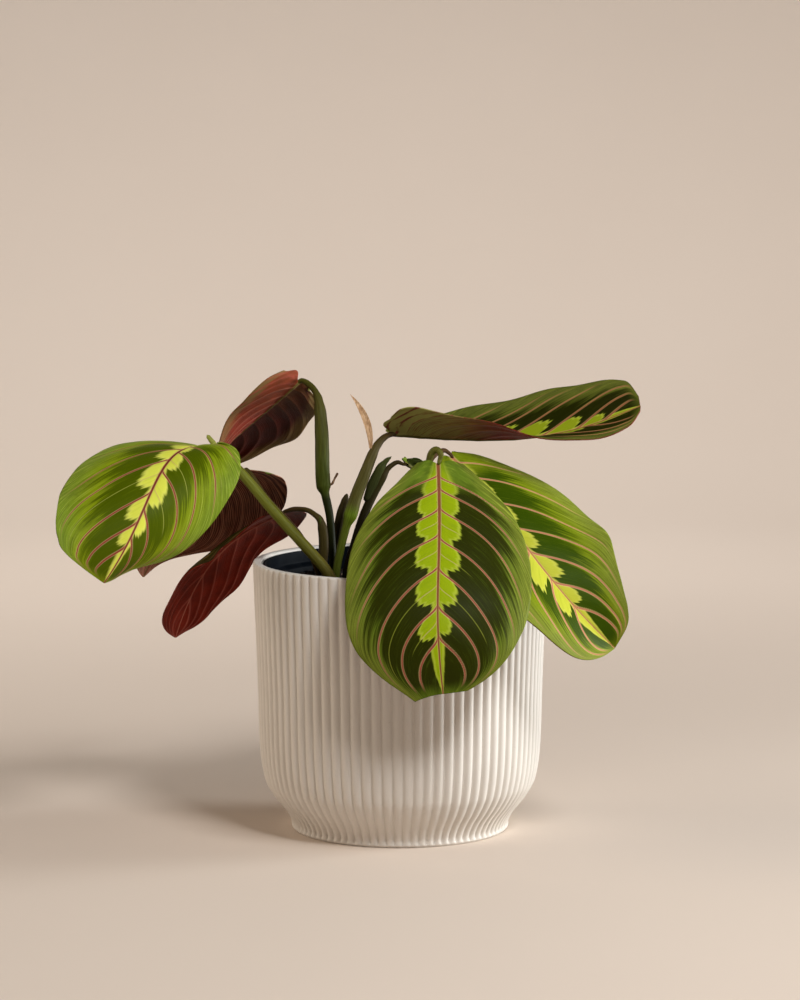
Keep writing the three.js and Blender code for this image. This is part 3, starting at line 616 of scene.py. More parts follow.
def skin_group():
    """Streaks that run along a stem, with small spots. Its sides and back, away from -Y, get a darker
    brown as painted shade, by the share set for them. Gives a tone, a height and a roughness."""
    inputs = [("Skin", "Vector", None), ("Tint", "Color", (0.1, 0.12, 0.04)), ("Streaks", "Float", 0.5),
              ("Edges", "Float", 0.5)]
    group, entry, leave = new_group("stem_skin", inputs, SKIN_OUTPUTS)
    skin, tint = entry["Skin"], entry["Tint"]
    streak = noise(group, put(group, "Mapping", {"Vector": skin, "Scale": (3.2, 3.2, 40)}), 2.2, 4, 0.6)
    spots = noise(group, put(group, "Mapping", {"Vector": skin, "Scale": (1.5, 1.5, 900)}), 2.5, 2)
    dark = put(group, "HueSaturation", {"Color": tint, "Value": 0.5, "Saturation": 1.05})
    light = put(group, "HueSaturation", {"Color": tint, "Value": 1.5, "Saturation": 0.92})
    brown = put(group, "HueSaturation", {"Color": tint, "Value": 0.6, "Saturation": 1.1, "Hue": 0.455})
    mixed = blend_colours(group, ease(group, streak, 0.3, 0.7), dark, light)
    tone = blend_colours(group, entry["Streaks"], tint, mixed)
    # Painted shade: a darker brown from the side that faces -Y round to the sides and back
    round_stem = put(group, "SeparateXYZ", [skin])
    edge = times(group, ease(group, round_stem, -0.75, -0.2), entry["Edges"])
    tone = blend_colours(group, edge, tone, brown)
    spotted = times(group, ease(group, spots, 0.6, 0.75), 0.35)
    feed(group, leave.inputs["Tone"], blend_colours(group, spotted, tone, dark))
    feed(group, leave.inputs["Height"], calc(group, "ADD", streak, times(group, spots, 0.3)))
    feed(group, leave.inputs["Roughness"], put(group, "MapRange", {0: streak, 3: 0.36, 4: 0.56}))
    return group


STEM_SKIN = skin_group()


def wear_skin(tree, shader, parts, bump):
    """Gives a shader what a skin group puts out, its height raised by bump metres."""
    feed(tree, shader.inputs["Base Color"], parts["Tone"])
    feed(tree, shader.inputs["Roughness"], parts["Roughness"])
    raise_surface(tree, shader, parts["Height"], bump)


def stem_material(name, bump, side_shade):
    """Fresh stem skin in the tint of each point, streaked along its length, with painted shade
    in a darker brown on its sides and back.
    """
    material, tree, shader = new_material(name, 0.45, 0.07)
    skin = put(tree, "Attribute", out=1, attribute_name="skin")
    tint = put(tree, "Attribute", attribute_name="tint")
    parts = use_group(tree, STEM_SKIN, {"Skin": skin, "Tint": tint, "Streaks": 0.6, "Edges": side_shade})
    wear_skin(tree, shader, parts, bump)
    return material


stalk_skin = stem_material("stalk_skin", 0.00012, 0.5)
for stalk_name, stems in STALKS.items():
    tones = [STALK_TONES[stalk_name], SHOOT_TONES.get(stalk_name)]
    node = f"stalk_{stalk_name}"
    stem_piece(f"{node}_skin", stems, tones, stalk_skin, "stalk", [node])

# Young shoot
# A rolled young leaf, still inside its dark pointed sheath. It stands beside the stalks and
# comes up through the soil as they do.
YOUNG_SHEATH = [
    (-31.4, 13, 109, 1.9), (-31.2, 12.8, 124, 2), (-29.9, 12, 139.2, 2.3), (-28.2, 11.4, 148.8, 2.4),
    (-26.5, 11, 155.1, 1.8), (-25.3, 11, 159, 0.8),
]
YOUNG_TONES = [(0, (0.02, 0.012, 0.006)), (0.6, (0.035, 0.03, 0.012)), (1, (0.08, 0.06, 0.02))]
stem_piece("young_sheath_skin", [YOUNG_SHEATH], [YOUNG_TONES],
           stem_material("young_sheath_skin", 0.0002, 0.2), "young_sheath", ["young_sheath"])

# Leaf blades
# Broad thin blades, satin green above with a lobed lime band along the midrib, dark blotches
# and red veins, and wine-red below. The veins are sunk above and stand proud below.
SIDES = ("left", "right")
BLADE_THICKNESS = 0.5
BLADE_ROWS = 150
BLADE_COLUMNS = 48
PLEAT_HEIGHT = 0.5
MIDRIB_WIDTH = 1.7
MIDRIB_CHANNEL = 0.5
MIDRIB_RIDGE = 0.9
SIDE_RIDGE = 0.14
MARGIN_WAVES = 3
LEFT_MARGIN_LAG = 0.4
# How steeply the base lobes fall away along the blade, and how late the tip's reach sets in
LOBE_POWER = 6
REACH_POWER = 12
# The rate at which the veins are counted before the first one and after the last, and the most
# millimetres from vein to vein that the skin's pattern allows for
END_INTERVAL = 0.45
MAX_GAUGE = 60
WIDTH_PLACES = (0, 0.04, 0.1, 0.18, 0.28, 0.4, 0.52, 0.64, 0.74, 0.82, 0.88, 0.93, 0.97, 1)

# The midrib is a cubic curve. rightward points across the blade at its base and at its tip. lobe
# is how far the base lobes reach back in mm, wave how high the margin ripples, pleat how high the
# blade stands between its veins, and reach how far the right half's tip runs ahead. A half-blade
# has its widths at WIDTH_PLACES along it, and lifts off the rightward line and curls, in degrees
# at the base and at the tip. veins are where the side veins leave the midrib, as shares of its
# length, and sweep is how they run from it: a|t| + b|t|^n. minor is how far the faint vein after
# each of them reaches, and band how far the lime band does.
PLAIN_HALF = {
    "veins": (0.05, 0.13, 0.23, 0.36, 0.50, 0.64, 0.78), "sweep": (0.24, 0.32, 4),
    "minor": (0, 0, 0, 0, 0, 0, 0, 0),
    "band": [(0, 0.25), (0.12, 0.3), (0.3, 0.26), (0.5, 0.22), (0.65, 0.2), (0.75, 0.16),
             (0.83, 0.1), (0.92, 0.05), (1, 0.02)],
}
MIDDLE_HALF = {
    "widths": (4.4, 5, 5.6, 6.6, 8, 9.5, 10, 9.5, 8.3, 7, 5.5, 4, 2.4, 0.6),
    "lift": (45, -20), "curl": (20, -30),
}
LEAVES = {
    "left_front": {
        "midrib": [(-94.7, -2, 182.6), (-114.6, -31.6, 187.5), (-112.2, -68.3, 158.5), (-135.7, -61.2, 126)],
        "rightward": [(-0.86, 0.28, 0.44), (-0.95, -0.31, 0)],
        "lobe": 5, "wave": 0.6,
        "left": {
            "widths": (11, 24, 30, 33.4, 34.6, 34.3, 33.4, 31.9, 29.2, 26.4, 23.4, 19.6, 14, 0.6),
            "lift": (47, -39), "curl": (-52, -66),
            "veins": (0.01, 0.10, 0.20, 0.39, 0.63, 0.77), "sweep": (0.25, 0.5, 3),
            "minor": (0, 0, 0.5, 0.45, 0, 0),
            "band": [(0, 0.12), (0.15, 0.16), (0.34, 0.19), (0.545, 0.2), (0.7, 0.15), (0.85, 0.04),
                     (1, 0.02)],
        },
        "right": {
            "widths": (15, 31.3, 36.8, 40.6, 43.6, 44.3, 44.2, 42.2, 39, 36, 33.2, 29.4, 22.6, 0.6),
            "lift": (-16, 0), "curl": (-25, -35),
            "veins": (0.05, 0.15, 0.29, 0.54, 0.70, 0.82), "sweep": (0.42, 0.3, 3),
            "minor": (0, 0, 0.75, 0, 0, 0),
            "band": [(0, 0.12), (0.31, 0.16), (0.5, 0.175), (0.68, 0.15), (0.8, 0.125), (0.92, 0.06),
                     (1, 0.02)],
        },
    },
    "left_top": {
        "midrib": [(-49.1, 30, 211), (-58, 30.4, 202.3), (-76.1, 65.8, 186.4), (-96.6, 71.8, 166.4)],
        "rightward": [(0.78, 0.63, 0), (0.55, 0.83, -0.05)],
        "lobe": 4, "wave": 1, "pleat": 0.85,
        "left": {
            "widths": (12.5, 20, 24.4, 26.2, 28.4, 31.2, 32.5, 31.3, 28.7, 25.4, 21.8, 17.6, 12.5, 0.6),
            "lift": (3, -33), "curl": (7, -42),
        },
        "right": {
            "widths": (8.5, 12.5, 17, 20.8, 25, 28.8, 30.2, 29.6, 27, 23.2, 19.4, 15.7, 11.1, 0.6),
            "lift": (-8, -12), "curl": (-10, -9),
        },
    },
    "left_back": {
        "midrib": [(-73.6, 11, 170.6), (-83.8, 41, 168.8), (-117.7, 57, 141.8), (-127.2, 64, 111.6)],
        "rightward": [(0.86, 0.5, 0), (0.44, 0.83, -0.38)],
        "lobe": 6, "wave": 0.8,
        "left": {
            "widths": (12, 18, 25, 31.5, 37.6, 41.2, 40, 29.5, 22.6, 18.6, 14.6, 9.8, 5, 0.6),
            "lift": (-10, -10), "curl": (-20, -20),
        },
        "right": {
            "widths": (12.4, 18.6, 25.6, 32.4, 37.8, 40.2, 39.8, 36.6, 31.2, 21, 11.8, 6, 3, 0.6),
            "lift": (-10, -10), "curl": (-20, -24),
        },
    },
    "left_low": {
        "midrib": [(-55.6, 16.6, 149.2), (-82.6, 51.9, 135), (-98.9, 36.2, 122.6), (-110.4, 46.4, 84)],
        "rightward": [(0.27, 0.95, -0.11), (0.79, 0.61, 0.05)],
        "lobe": 4, "wave": 0.8,
        "left": {
            "widths": (16, 19.9, 23.9, 27.7, 30.6, 32, 31.4, 29, 26, 22.8, 18, 12.2, 6.2, 0.6),
            "lift": (8, -11), "curl": (-44, -29),
        },
        "right": {
            "widths": (13, 16, 19.2, 22, 23.8, 24.2, 24.2, 22.8, 19.4, 15.4, 12.4, 8.6, 3.8, 0.6),
            "lift": (-4, -9), "curl": (-29, -18),
        },
    },
    "right_top": {
        "midrib": [(-3.8, 16.6, 187.1), (59.8, 7.1, 182.3), (80, 10.9, 186), (113.7, -2, 202.1)],
        "rightward": [(0.33, -0.61, 0.72), (0.27, -0.92, -0.28)],
        "lobe": 4, "wave": 0.6,
        "left": {
            "widths": (10.9, 17.1, 22.3, 26.8, 30.4, 32.6, 32.9, 31.5, 28.9, 26.2, 23.4, 20, 15.8, 6),
            "lift": (60, 23), "curl": (30, -10),
            "veins": (0.05, 0.13, 0.22, 0.32, 0.44, 0.60, 0.74, 0.85), "sweep": (0.3, 0.16, 3),
            "band": [(0, 0.2), (0.3, 0.33), (0.55, 0.36), (0.7, 0.3), (0.85, 0.16), (1, 0.04)],
        },
        "right": {
            "widths": (12, 18.6, 22.6, 24, 26, 28, 28.4, 27.2, 24.8, 22.2, 19.4, 16.2, 12.4, 4),
            "lift": (-3, -2), "curl": (-10, 14),
        },
    },
    "front": {
        "midrib": [(17.7, -30.5, 178), (19.6, -74.5, 132.3), (13.9, -102.3, 127.2), (19.4, -95.8, 80.5)],
        "rightward": [(-0.99, -0.15, 0.03), (-1, 0, 0)],
        "lobe": 1.5, "wave": 0.7, "reach": 2.5,
        "left": {
            "widths": (11.6, 17.4, 25.4, 33.8, 40, 44.2, 45, 43.8, 41.4, 37.6, 33, 27, 19.5, 11.2),
            "lift": (3, 1), "curl": (-25, -37),
            "veins": (0.07, 0.13, 0.23, 0.38, 0.53, 0.69, 0.80), "sweep": (0.2, 0.3, 5.5),
            "minor": (0, 0, 0.25, 0.35, 0.6, 0, 0),
            "band": [(0, 0.25), (0.12, 0.29), (0.2, 0.25), (0.35, 0.235), (0.5, 0.215), (0.65, 0.2),
                     (0.75, 0.155), (0.83, 0.1), (0.92, 0.05), (1, 0.02)],
        },
        "right": {
            "widths": (9.5, 14, 20, 29.2, 36.2, 40.8, 42.4, 42.6, 41.6, 38, 32, 25, 18, 13),
            "lift": (-2, 0), "curl": (-25, -21),
            "veins": (0.06, 0.13, 0.23, 0.36, 0.52, 0.69, 0.81), "sweep": (0.2, 0.3, 5.5),
            "minor": (0, 0, 0.25, 0.33, 0.8, 0.35, 0),
            "band": [(0, 0.25), (0.12, 0.31), (0.2, 0.31), (0.35, 0.265), (0.5, 0.25), (0.65, 0.23),
                     (0.78, 0.225), (0.86, 0.13), (0.92, 0.1), (1, 0.02)],
        },
    },
    "right_low": {
        "midrib": [(24.1, -0.6, 178.3), (51.4, -26.8, 153.6), (62.4, -65.9, 130.4), (99.5, -45.2, 93.3)],
        "rightward": [(-0.85, -0.53, -0.05), (-0.88, -0.43, 0.19)],
        "lobe": 2, "wave": 0.7,
        "left": {
            "widths": (4.6, 13, 22.4, 33.2, 39.8, 43.5, 44.2, 40.2, 33.8, 27, 21.6, 17.2, 11.6, 0.6),
            "lift": (11, 20), "curl": (-38, -5),
            "veins": (0.04, 0.13, 0.27, 0.41, 0.54, 0.68, 0.79), "sweep": (0.2, 0.33, 3),
            "band": [(0, 0.1), (0.2, 0.13), (0.5, 0.15), (0.66, 0.19), (0.775, 0.175), (0.9, 0.08),
                     (1, 0.02)],
        },
        "right": {
            "widths": (5.4, 15, 22.8, 29.6, 35, 38.1, 38.2, 34.6, 29.6, 25.6, 21.3, 15.3, 8, 0.6),
            "lift": (-16, 29), "curl": (-18, -20),
            "veins": (0.05, 0.14, 0.27, 0.40, 0.53, 0.66, 0.78), "sweep": (0.17, 0.25, 3),
            "band": [(0, 0.2), (0.3, 0.3), (0.55, 0.35), (0.74, 0.35), (0.845, 0.25), (0.93, 0.12),
                     (1, 0.03)],
        },
    },
    "middle": {
        "midrib": [(3.6, 8.4, 173.4), (9, 15, 170), (16, 25, 158), (22, 33, 138)],
        "rightward": [(0.8, -0.6, 0), (0.8, -0.6, 0)],
        "lobe": 3, "wave": 0.5,
        "left": MIDDLE_HALF, "right": MIDDLE_HALF,
    },
}
for leaf in LEAVES.values():
    for side in SIDES:
        leaf[side] = PLAIN_HALF | leaf[side]


def midrib_points(controls, along):
    """Points and forward directions of a cubic curve at shares of its length: the sum of
    (1-u)^3, 3u(1-u)^2, 3u^2(1-u) and u^3 times its four control points."""
    start, first, second, end = np.asarray(controls, float)
    u = np.linspace(0, 1, 600)[:, None]
    curve = (1 - u) ** 3 * start + 3 * u * (1 - u) ** 2 * first + 3 * u**2 * (1 - u) * second + u**3 * end
    slope = (1 - u) ** 2 * (first - start) + 2 * u * (1 - u) * (second - first) + u**2 * (end - second)
    length = np.concatenate([[0], np.cumsum(np.linalg.norm(np.diff(curve, axis=0), axis=1))])
    share = length / length[-1]
    place = np.stack([np.interp(along, share, curve[:, k]) for k in range(3)], -1)
    return place, unit(np.stack([np.interp(along, share, slope[:, k]) for k in range(3)], -1))


def blade_surface(leaf, along, across):
    """The blade's middle surface. Each half runs out from the midrib as an arc that starts at its
    lift angle and bends at an even rate, so it lies (sin(end) - sin(lift)) / bend aside and
    (cos(lift) - cos(end)) / bend up. The margin ripples, the base lobes reach back, and the right
    half's tip can reach ahead. Also gives the distance out from the midrib."""
    place, forward = midrib_points(leaf["midrib"], along)
    at_base, at_tip = [unit(np.array(way, float)) for way in leaf["rightward"]]
    sideways = at_base + (at_tip - at_base) * along[..., None]
    sideways = unit(sideways - forward * np.sum(sideways * forward, -1, keepdims=True))
    upward = np.cross(sideways, forward)
    right = across >= 0
    halves = [leaf["right"], leaf["left"]]
    widths = [smooth_through(WIDTH_PLACES, half["widths"], along) for half in halves]
    out = np.abs(across) * np.where(right, *widths)
    widest = np.where(right, *[max(half["widths"]) for half in halves])
    lift, curl = [
        np.where(right, *[half[key][0] + (half[key][1] - half[key][0]) * along for half in halves])
        for key in ("lift", "curl")
    ]
    lift, bend = np.radians(lift), np.radians(curl) / widest
    end = lift + bend * out
    aside = (np.sin(end) - np.sin(lift)) / bend
    phase = MARGIN_WAVES * along + np.where(right, 0, LEFT_MARGIN_LAG)
    ripple = leaf["wave"] * across**2 * np.sin(2 * np.pi * phase) * np.minimum(1, 4 * (1 - along))
    rise = (np.cos(lift) - np.cos(end)) / bend + ripple
    back = leaf["lobe"] * (1 - along) ** LOBE_POWER * np.sin(np.pi * np.abs(across)) ** 2
    ahead = np.where(right, leaf.get("reach", 0) * along**REACH_POWER * across**2, 0) - back
    aside = np.where(right, aside, -aside)
    points = place + sideways * aside[..., None] + upward * rise[..., None] + forward * ahead[..., None]
    return points, out


def vein_phase(half, along, across):
    """A number that is whole on each side vein and grows evenly from vein to vein, at under half
    that rate before the first and after the last. A vein that leaves the midrib at v runs along
    v + a|t| + b|t|^n, from a short bend where it joins. Veins near the base run out squarer."""
    last = half["veins"][-1]
    starts = np.array([-0.12, *half["veins"], last + 1.6 * (1 - last)])[:, None, None]
    first, second, power = half["sweep"]
    out = np.abs(across)
    bow = second * np.clip(starts / 0.2, 0, 1) * out ** np.clip(6 - 8 * starts, 2, power)
    curves = starts + first * np.minimum(1, 0.35 + 3.2 * starts).clip(0.1) * out + bow
    curves -= 0.02 * np.exp(-out / 0.03)
    shares = (along - curves[:-1]) / np.maximum(curves[1:] - curves[:-1], 0.004)
    weights = np.ones((len(shares), 1, 1))
    weights[[0, -1]] = END_INTERVAL
    return (np.clip(shares, 0, 1) * weights).sum(0) - END_INTERVAL


def steps_of_length(points, number):
    """Millimetres of surface per unit of a number that varies over a grid: 1 over its slope. The
    slope's square is (g d^2 - 2 f d o + e o^2) / (e g - f^2), where d and o are the number's steps
    down and over the grid, and e, f and g are the dot products of the points' steps."""
    down, over = np.gradient(points, axis=0), np.gradient(points, axis=1)
    number_down, number_over = np.gradient(number, axis=0), np.gradient(number, axis=1)
    e, f, g = (down**2).sum(-1), (down * over).sum(-1), (over**2).sum(-1)
    slope = g * number_down**2 - 2 * f * number_down * number_over + e * number_over**2
    return 1 / np.sqrt(np.maximum(slope / np.maximum(e * g - f**2, 1e-9), 1e-6))


def face_heights(leaf, along, across, out, phase):
    """How far the upper face and the underside lie off the middle surface: half the thickness
    each way, and a pleat of P (|sin(pi phase)|^0.8 - 0.5) in both. The midrib is a channel above
    and a ridge below, and each side vein a lower ridge below, of the form H exp(-(d/w)^2)."""
    edge = 1 - smoothstep(np.abs(across), 0.8, 1)
    tip = 1 - smoothstep(along, 0.85, 1)
    pleat = leaf.get("pleat", PLEAT_HEIGHT) * (np.abs(np.sin(np.pi * phase)) ** 0.8 - 0.5)
    pleat = pleat * smoothstep(out, 0.5, 7) * edge * tip
    rib_width = MIDRIB_WIDTH * (1 - 0.75 * along)
    channel = MIDRIB_CHANNEL * (1 - 0.7 * along) * np.exp(-((out / (0.8 * rib_width)) ** 2))
    ridge = MIDRIB_RIDGE * (1 - 0.75 * along) * np.exp(-((out / (0.62 * rib_width)) ** 2))
    from_vein = np.abs((phase + 0.5) % 1 - 0.5)
    side_ridge = SIDE_RIDGE * np.exp(-((from_vein * 6) ** 2)) * edge * tip
    half = BLADE_THICKNESS / 2
    return half + pleat - channel, pleat - half - ridge - side_ridge


def sheet_faces(rows, columns):
    """Quads of two sheets on the same grid, the second turned over, and then of the strip that
    joins them round the rim."""
    quads = grid_faces(rows, columns)
    count = rows * columns
    rim = np.concatenate([
        np.arange(columns - 1),
        np.arange(rows - 1) * columns + columns - 1,
        (rows - 1) * columns + np.arange(columns - 1, 0, -1),
        np.arange(rows - 1, 0, -1) * columns,
    ])
    after = np.roll(rim, -1)
    strip = np.stack([rim, rim + count, after + count, after], -1)
    return np.concatenate([quads, quads[:, ::-1] + count, strip])


def write_vein_places(mesh, leaf, faces, grid, phases, gauges):
    """Three attributes on the corners of the faces. vein holds phase, across and along, gauge the
    mm per phase, the mm out from the midrib and the lime band's reach, and minor how far the
    faint vein reaches. A face has the numbers of its own half, also along the midrib."""
    along, across, out = grid
    rows, columns = along.shape
    corner = faces % (rows * columns)
    on_left = ((corner % columns).mean(1) < (columns - 1) / 2)[:, None]
    phase = np.where(on_left, *[half.ravel()[corner] for half in phases])
    gauge = np.minimum(np.where(on_left, *[half.ravel()[corner] for half in gauges]), MAX_GAUGE)
    along, across, out = [part.ravel()[corner] for part in (along, across, out)]
    band = np.where(on_left, *[np.interp(along, *np.array(leaf[side]["band"]).T) for side in SIDES])
    interval = np.floor(phase).astype(int) + 1
    minor = np.where(on_left, *[np.array([0, *leaf[side]["minor"], 0])[interval] for side in SIDES])
    write_attribute(mesh, "vein", "FLOAT_VECTOR", "CORNER", np.stack([phase, across, along], -1))
    write_attribute(mesh, "gauge", "FLOAT_VECTOR", "CORNER", np.stack([gauge, out, band], -1))
    write_attribute(mesh, "minor", "FLOAT", "CORNER", minor)


def blade_piece(name, leaf, face_material, under_material):
    """The blade's two faces, each the middle surface pushed along its normal, closed at the rim.
    Its rows lie closer at the base and the tip, and its columns closer at the midrib."""
    share = np.linspace(0, 1, BLADE_ROWS)
    along = ((share + (1 - np.cos(np.pi * share)) / 2) / 2)[:, None]
    step = np.linspace(-1, 1, 2 * BLADE_COLUMNS + 1)[None, :]
    across = np.sign(step) * np.abs(step) ** 1.25
    along, across = np.broadcast_arrays(along, across)
    points, out = blade_surface(leaf, along, across)
    phases = [vein_phase(leaf[side], along, across) for side in SIDES]
    gauges = [steps_of_length(points, phase) for phase in phases]
    normal = unit(np.cross(np.gradient(points, axis=1), np.gradient(points, axis=0)))
    heights = face_heights(leaf, along, across, out, np.where(across >= 0, phases[1], phases[0]))
    sheets = np.stack([points + normal * height[..., None] for height in heights])
    rows, columns = along.shape
    faces = sheet_faces(rows, columns)
    node = f"leaf_{name.removesuffix('_blade')}"
    piece = make_piece(name, sheets.reshape(-1, 3), faces.tolist(), face_material, "leaf", [node])
    piece.data.materials.append(under_material)
    below = np.arange(len(faces)) >= (rows - 1) * (columns - 1)
    piece.data.polygons.foreach_set("material_index", below.astype(np.int32))
    write_vein_places(piece.data, leaf, faces, (along, across, out), phases, gauges)


def fall(tree, value, low, high):
    """A smooth step from 1 at low down to 0 at high."""
    return ease(tree, value, high, low)


def linear(tree, value, slope, start):
    """The value times slope, plus start."""
    return calc(tree, "MULTIPLY_ADD", value, slope, start)


def laid_over(tree, tone, layers):
    """A tone with other colours laid over it one after another, each by its own share."""
    for share, colour in layers:
        tone = blend_colours(tree, share, tone, colour)
    return tone


def masks_of(tree, vein, gauge):
    """Splits the two blade attributes: phase, across with its sign and without, along, mm per
    phase, mm out, band reach, share of the way between veins and mm to the nearest vein."""
    first, second = [tree.nodes.new("ShaderNodeSeparateXYZ") for _ in range(2)]
    feed(tree, first.inputs[0], vein)
    feed(tree, second.inputs[0], gauge)
    phase, across, along = first.outputs
    per_phase, out, reach = second.outputs
    return {
        "phase": phase, "signed": across, "across": calc(tree, "ABSOLUTE", across), "along": along,
        "per_phase": per_phase, "out": out, "reach": reach, "share": calc(tree, "FRACT", phase),
        "vein_mm": times(tree, calc(tree, "PINGPONG", phase, 0.5), per_phase),
    }


def wavy(tree, value, number, sharpness):
    """A row of rounded lines: (0.5 + 0.5 cos(2 pi number x value)) to a power."""
    turn = times(tree, value, 2 * np.pi * number)
    return calc(tree, "POWER", linear(tree, calc(tree, "COSINE", turn), 0.5, 0.5), sharpness)


def curve_of(tree, value, points):
    """A smooth curve through given points from 0 to 1."""
    node = tree.nodes.new("ShaderNodeFloatCurve")
    curve = node.mapping.curves[0]
    for _ in range(len(points) - 2):
        curve.points.new(0.5, 0.5)
    for point, place in zip(curve.points, points):
        point.location = place
    node.mapping.update()
    feed(tree, node.inputs["Value"], value)
    return node.outputs[0]


def stroke(tree, part, count, length):
    """Noise drawn out along the side veins: count strokes from vein to vein, length of them out."""
    place = [times(tree, part["phase"], count), times(tree, part["signed"], length)]
    return noise(tree, put(tree, "CombineXYZ", place), 1, 3, 0.6)


# How far the edge of the lime band draws back, by the share of the way from one vein to the next
LOBE_DIPS = [(0, 0.42), (0.07, 0.3), (0.13, 0.1), (0.22, 0.02), (0.34, 0.14), (0.42, 0), (0.52, 0.16),
             (0.58, 0.1), (0.66, 0.5), (0.72, 0.5), (0.8, 1), (0.9, 0.95), (1, 0.55)]


def lime_band(group, entry, part, fine):
    """How far a place is in the lime band, and in the band's rim. The band ends at its reach less
    the lobes' dips, which deepen along the blade. Strokes tear its edge, and it is soft and pale
    at the base."""
    along, share = part["along"], part["share"]
    cut = linear(group, along, 1.1, calc(group, "SUBTRACT", entry["Cut"], 0.44))
    cut = calc(group, "MINIMUM", calc(group, "MAXIMUM", cut, 0.2), 0.85)
    kept = calc(group, "SUBTRACT", 1, times(group, cut, curve_of(group, share, LOBE_DIPS)))
    teeth = times(group, calc(group, "SUBTRACT", fine, 0.5), linear(group, share, 0.06, 0.03))
    inside = calc(group, "SUBTRACT", linear(group, part["reach"], kept, teeth), part["across"])
    soft = linear(group, fall(group, along, 0.06, 0.2), 0.09, entry["Softness"])
    lime = ease(group, inside, times(group, soft, -1), soft)
    lime = times(group, lime, linear(group, ease(group, along, 0.01, 0.09), 0.5, 0.5))
    return lime, times(group, lime, fall(group, inside, 0.005, 0.05))


def dark_blotch(group, entry, part, broad, fine):
    """How dark a place is beside the band. Blotch is where the dark ends, as a share of the way
    out. It ends further out midway between two veins, in strokes, and keeps off base and tip."""
    bulge = linear(group, calc(group, "PINGPONG", part["share"], 0.5), 0.3, -0.08)
    strokes = linear(group, broad, 0.6, linear(group, fine, 0.5, -0.55))
    end = calc(group, "ADD", calc(group, "ADD", entry["Blotch"], bulge), strokes)
    fade = ease(group, calc(group, "SUBTRACT", end, part["across"]), -0.14, 0.1)
    past_base, before_tip = ease(group, part["along"], 0.07, 0.16), fall(group, part["along"], 0.95, 1.02)
    return times(group, fade, past_base, before_tip)


def faint_vein(group, entry, part):
    """The thin vein that runs midway between two side veins, as far out as Minor."""
    aside = calc(group, "ABSOLUTE", calc(group, "SUBTRACT", part["share"], 0.47))
    line = fall(group, times(group, aside, part["per_phase"]), 0.06, 0.32)
    end = ease(group, calc(group, "SUBTRACT", entry["Minor"], part["across"]), -0.02, 0.1)
    return times(group, line, end, calc(group, "GREATER_THAN", entry["Minor"], 0.05))


def side_vein(group, part, lime):
    """The pale halo and the red core of the side veins. They narrow on the way out, and end short
    of the margin and the tip."""
    at_end = calc(group, "MAXIMUM", ease(group, part["across"], 0.72, 0.97),
                  ease(group, part["along"], 0.93, 0.99))
    before_end = calc(group, "SUBTRACT", 1, at_end)
    half_width = linear(group, part["across"], -0.28, 0.46)
    halo = fall(group, part["vein_mm"], half_width, calc(group, "ADD", half_width, 0.45))
    core = fall(group, part["vein_mm"], times(group, half_width, 0.5), times(group, half_width, 1.1))
    return times(group, halo, before_end, linear(group, lime, 0.2, 0.55)), times(group, core, before_end)


def leaf_face_group():
    """The upper face: a lobed lime band along the midrib, dark blotches beside it that fade in
    strokes, a green margin, and red veins with pale edges."""
    inputs = [
        ("Vein", "Vector", None), ("Gauge", "Vector", None), ("Place", "Vector", None),
        ("Lime", "Color", (0.285, 0.39, 0.004)), ("Lime Edge", "Color", (0.5, 0.57, 0.07)),
        ("Green", "Color", (0.115, 0.185, 0.012)), ("Dark", "Color", (0.0185, 0.021, 0.0004)),
        ("Margin", "Color", (0.13, 0.17, 0.02)), ("Red", "Color", (0.33, 0.05, 0.03)),
        ("Pink", "Color", (0.58, 0.35, 0.13)), ("Midrib", "Color", (0.25, 0.08, 0.035)),
        ("Minor", "Float", 0.0), ("Blotch", "Float", 0.74), ("Cut", "Float", 0.75),
        ("Softness", "Float", 0.02),
    ]
    group, entry, leave = new_group("leaf_face", inputs, SKIN_OUTPUTS)
    part = masks_of(group, entry["Vein"], entry["Gauge"])
    broad, fine = stroke(group, part, 9, 2.2), stroke(group, part, 30, 3.5)
    mottle = noise(group, entry["Place"], 130, 4, 0.6)
    cells = noise(group, entry["Place"], 900, 2)
    lime, lime_rim = lime_band(group, entry, part, fine)
    halo, core = side_vein(group, part, lime)

    outer = ease(group, part["across"], 0.55, 0.95)
    brushed = times(group, ease(group, fine, 0.48, 0.72), linear(group, outer, 0.3, 0.16))
    green = laid_over(group, entry["Green"], [(outer, entry["Margin"]), (brushed, entry["Lime Edge"])])
    shade = put(group, "HueSaturation", {"Color": green, "Value": 0.62})
    shaded = times(group, ease(group, broad, 0.4, 0.65), ease(group, mottle, 0.2, 0.6))
    dark = times(group, dark_blotch(group, entry, part, broad, fine), 0.97)
    dark_brushed = times(group, ease(group, fine, 0.5, 0.8), 0.25)
    lime_brushed = times(group, ease(group, broad, 0.45, 0.75), 0.25)
    faint = times(group, faint_vein(group, entry, part), linear(group, lime, 0.35, 0.3))
    rib_half = linear(group, part["along"], -0.6, 0.95)
    rib_glow = times(group, fall(group, part["out"], rib_half, times(group, rib_half, 1.6)), 0.5)
    rib = fall(group, part["out"], times(group, rib_half, 0.55), rib_half)
    tone = laid_over(group, green, [
        (shaded, shade),
        (dark, blend_colours(group, dark_brushed, entry["Dark"], entry["Green"])),
        (lime, blend_colours(group, lime_brushed, entry["Lime"], entry["Green"])),
        (times(group, lime_rim, 0.55), entry["Lime Edge"]),
        (faint, blend_colours(group, lime, entry["Lime Edge"], entry["Pink"])),
        (halo, entry["Pink"]),
        (core, entry["Red"]),
        (rib_glow, entry["Pink"]),
        (rib, entry["Midrib"]),
    ])
    height = linear(group, core, -0.5, linear(group, fine, 0.8, times(group, cells, 0.3)))
    feed(group, leave.inputs["Tone"], tone)
    feed(group, leave.inputs["Height"], height)
    feed(group, leave.inputs["Roughness"], put(group, "MapRange", {0: mottle, 3: 0.38, 4: 0.52}))
    return group


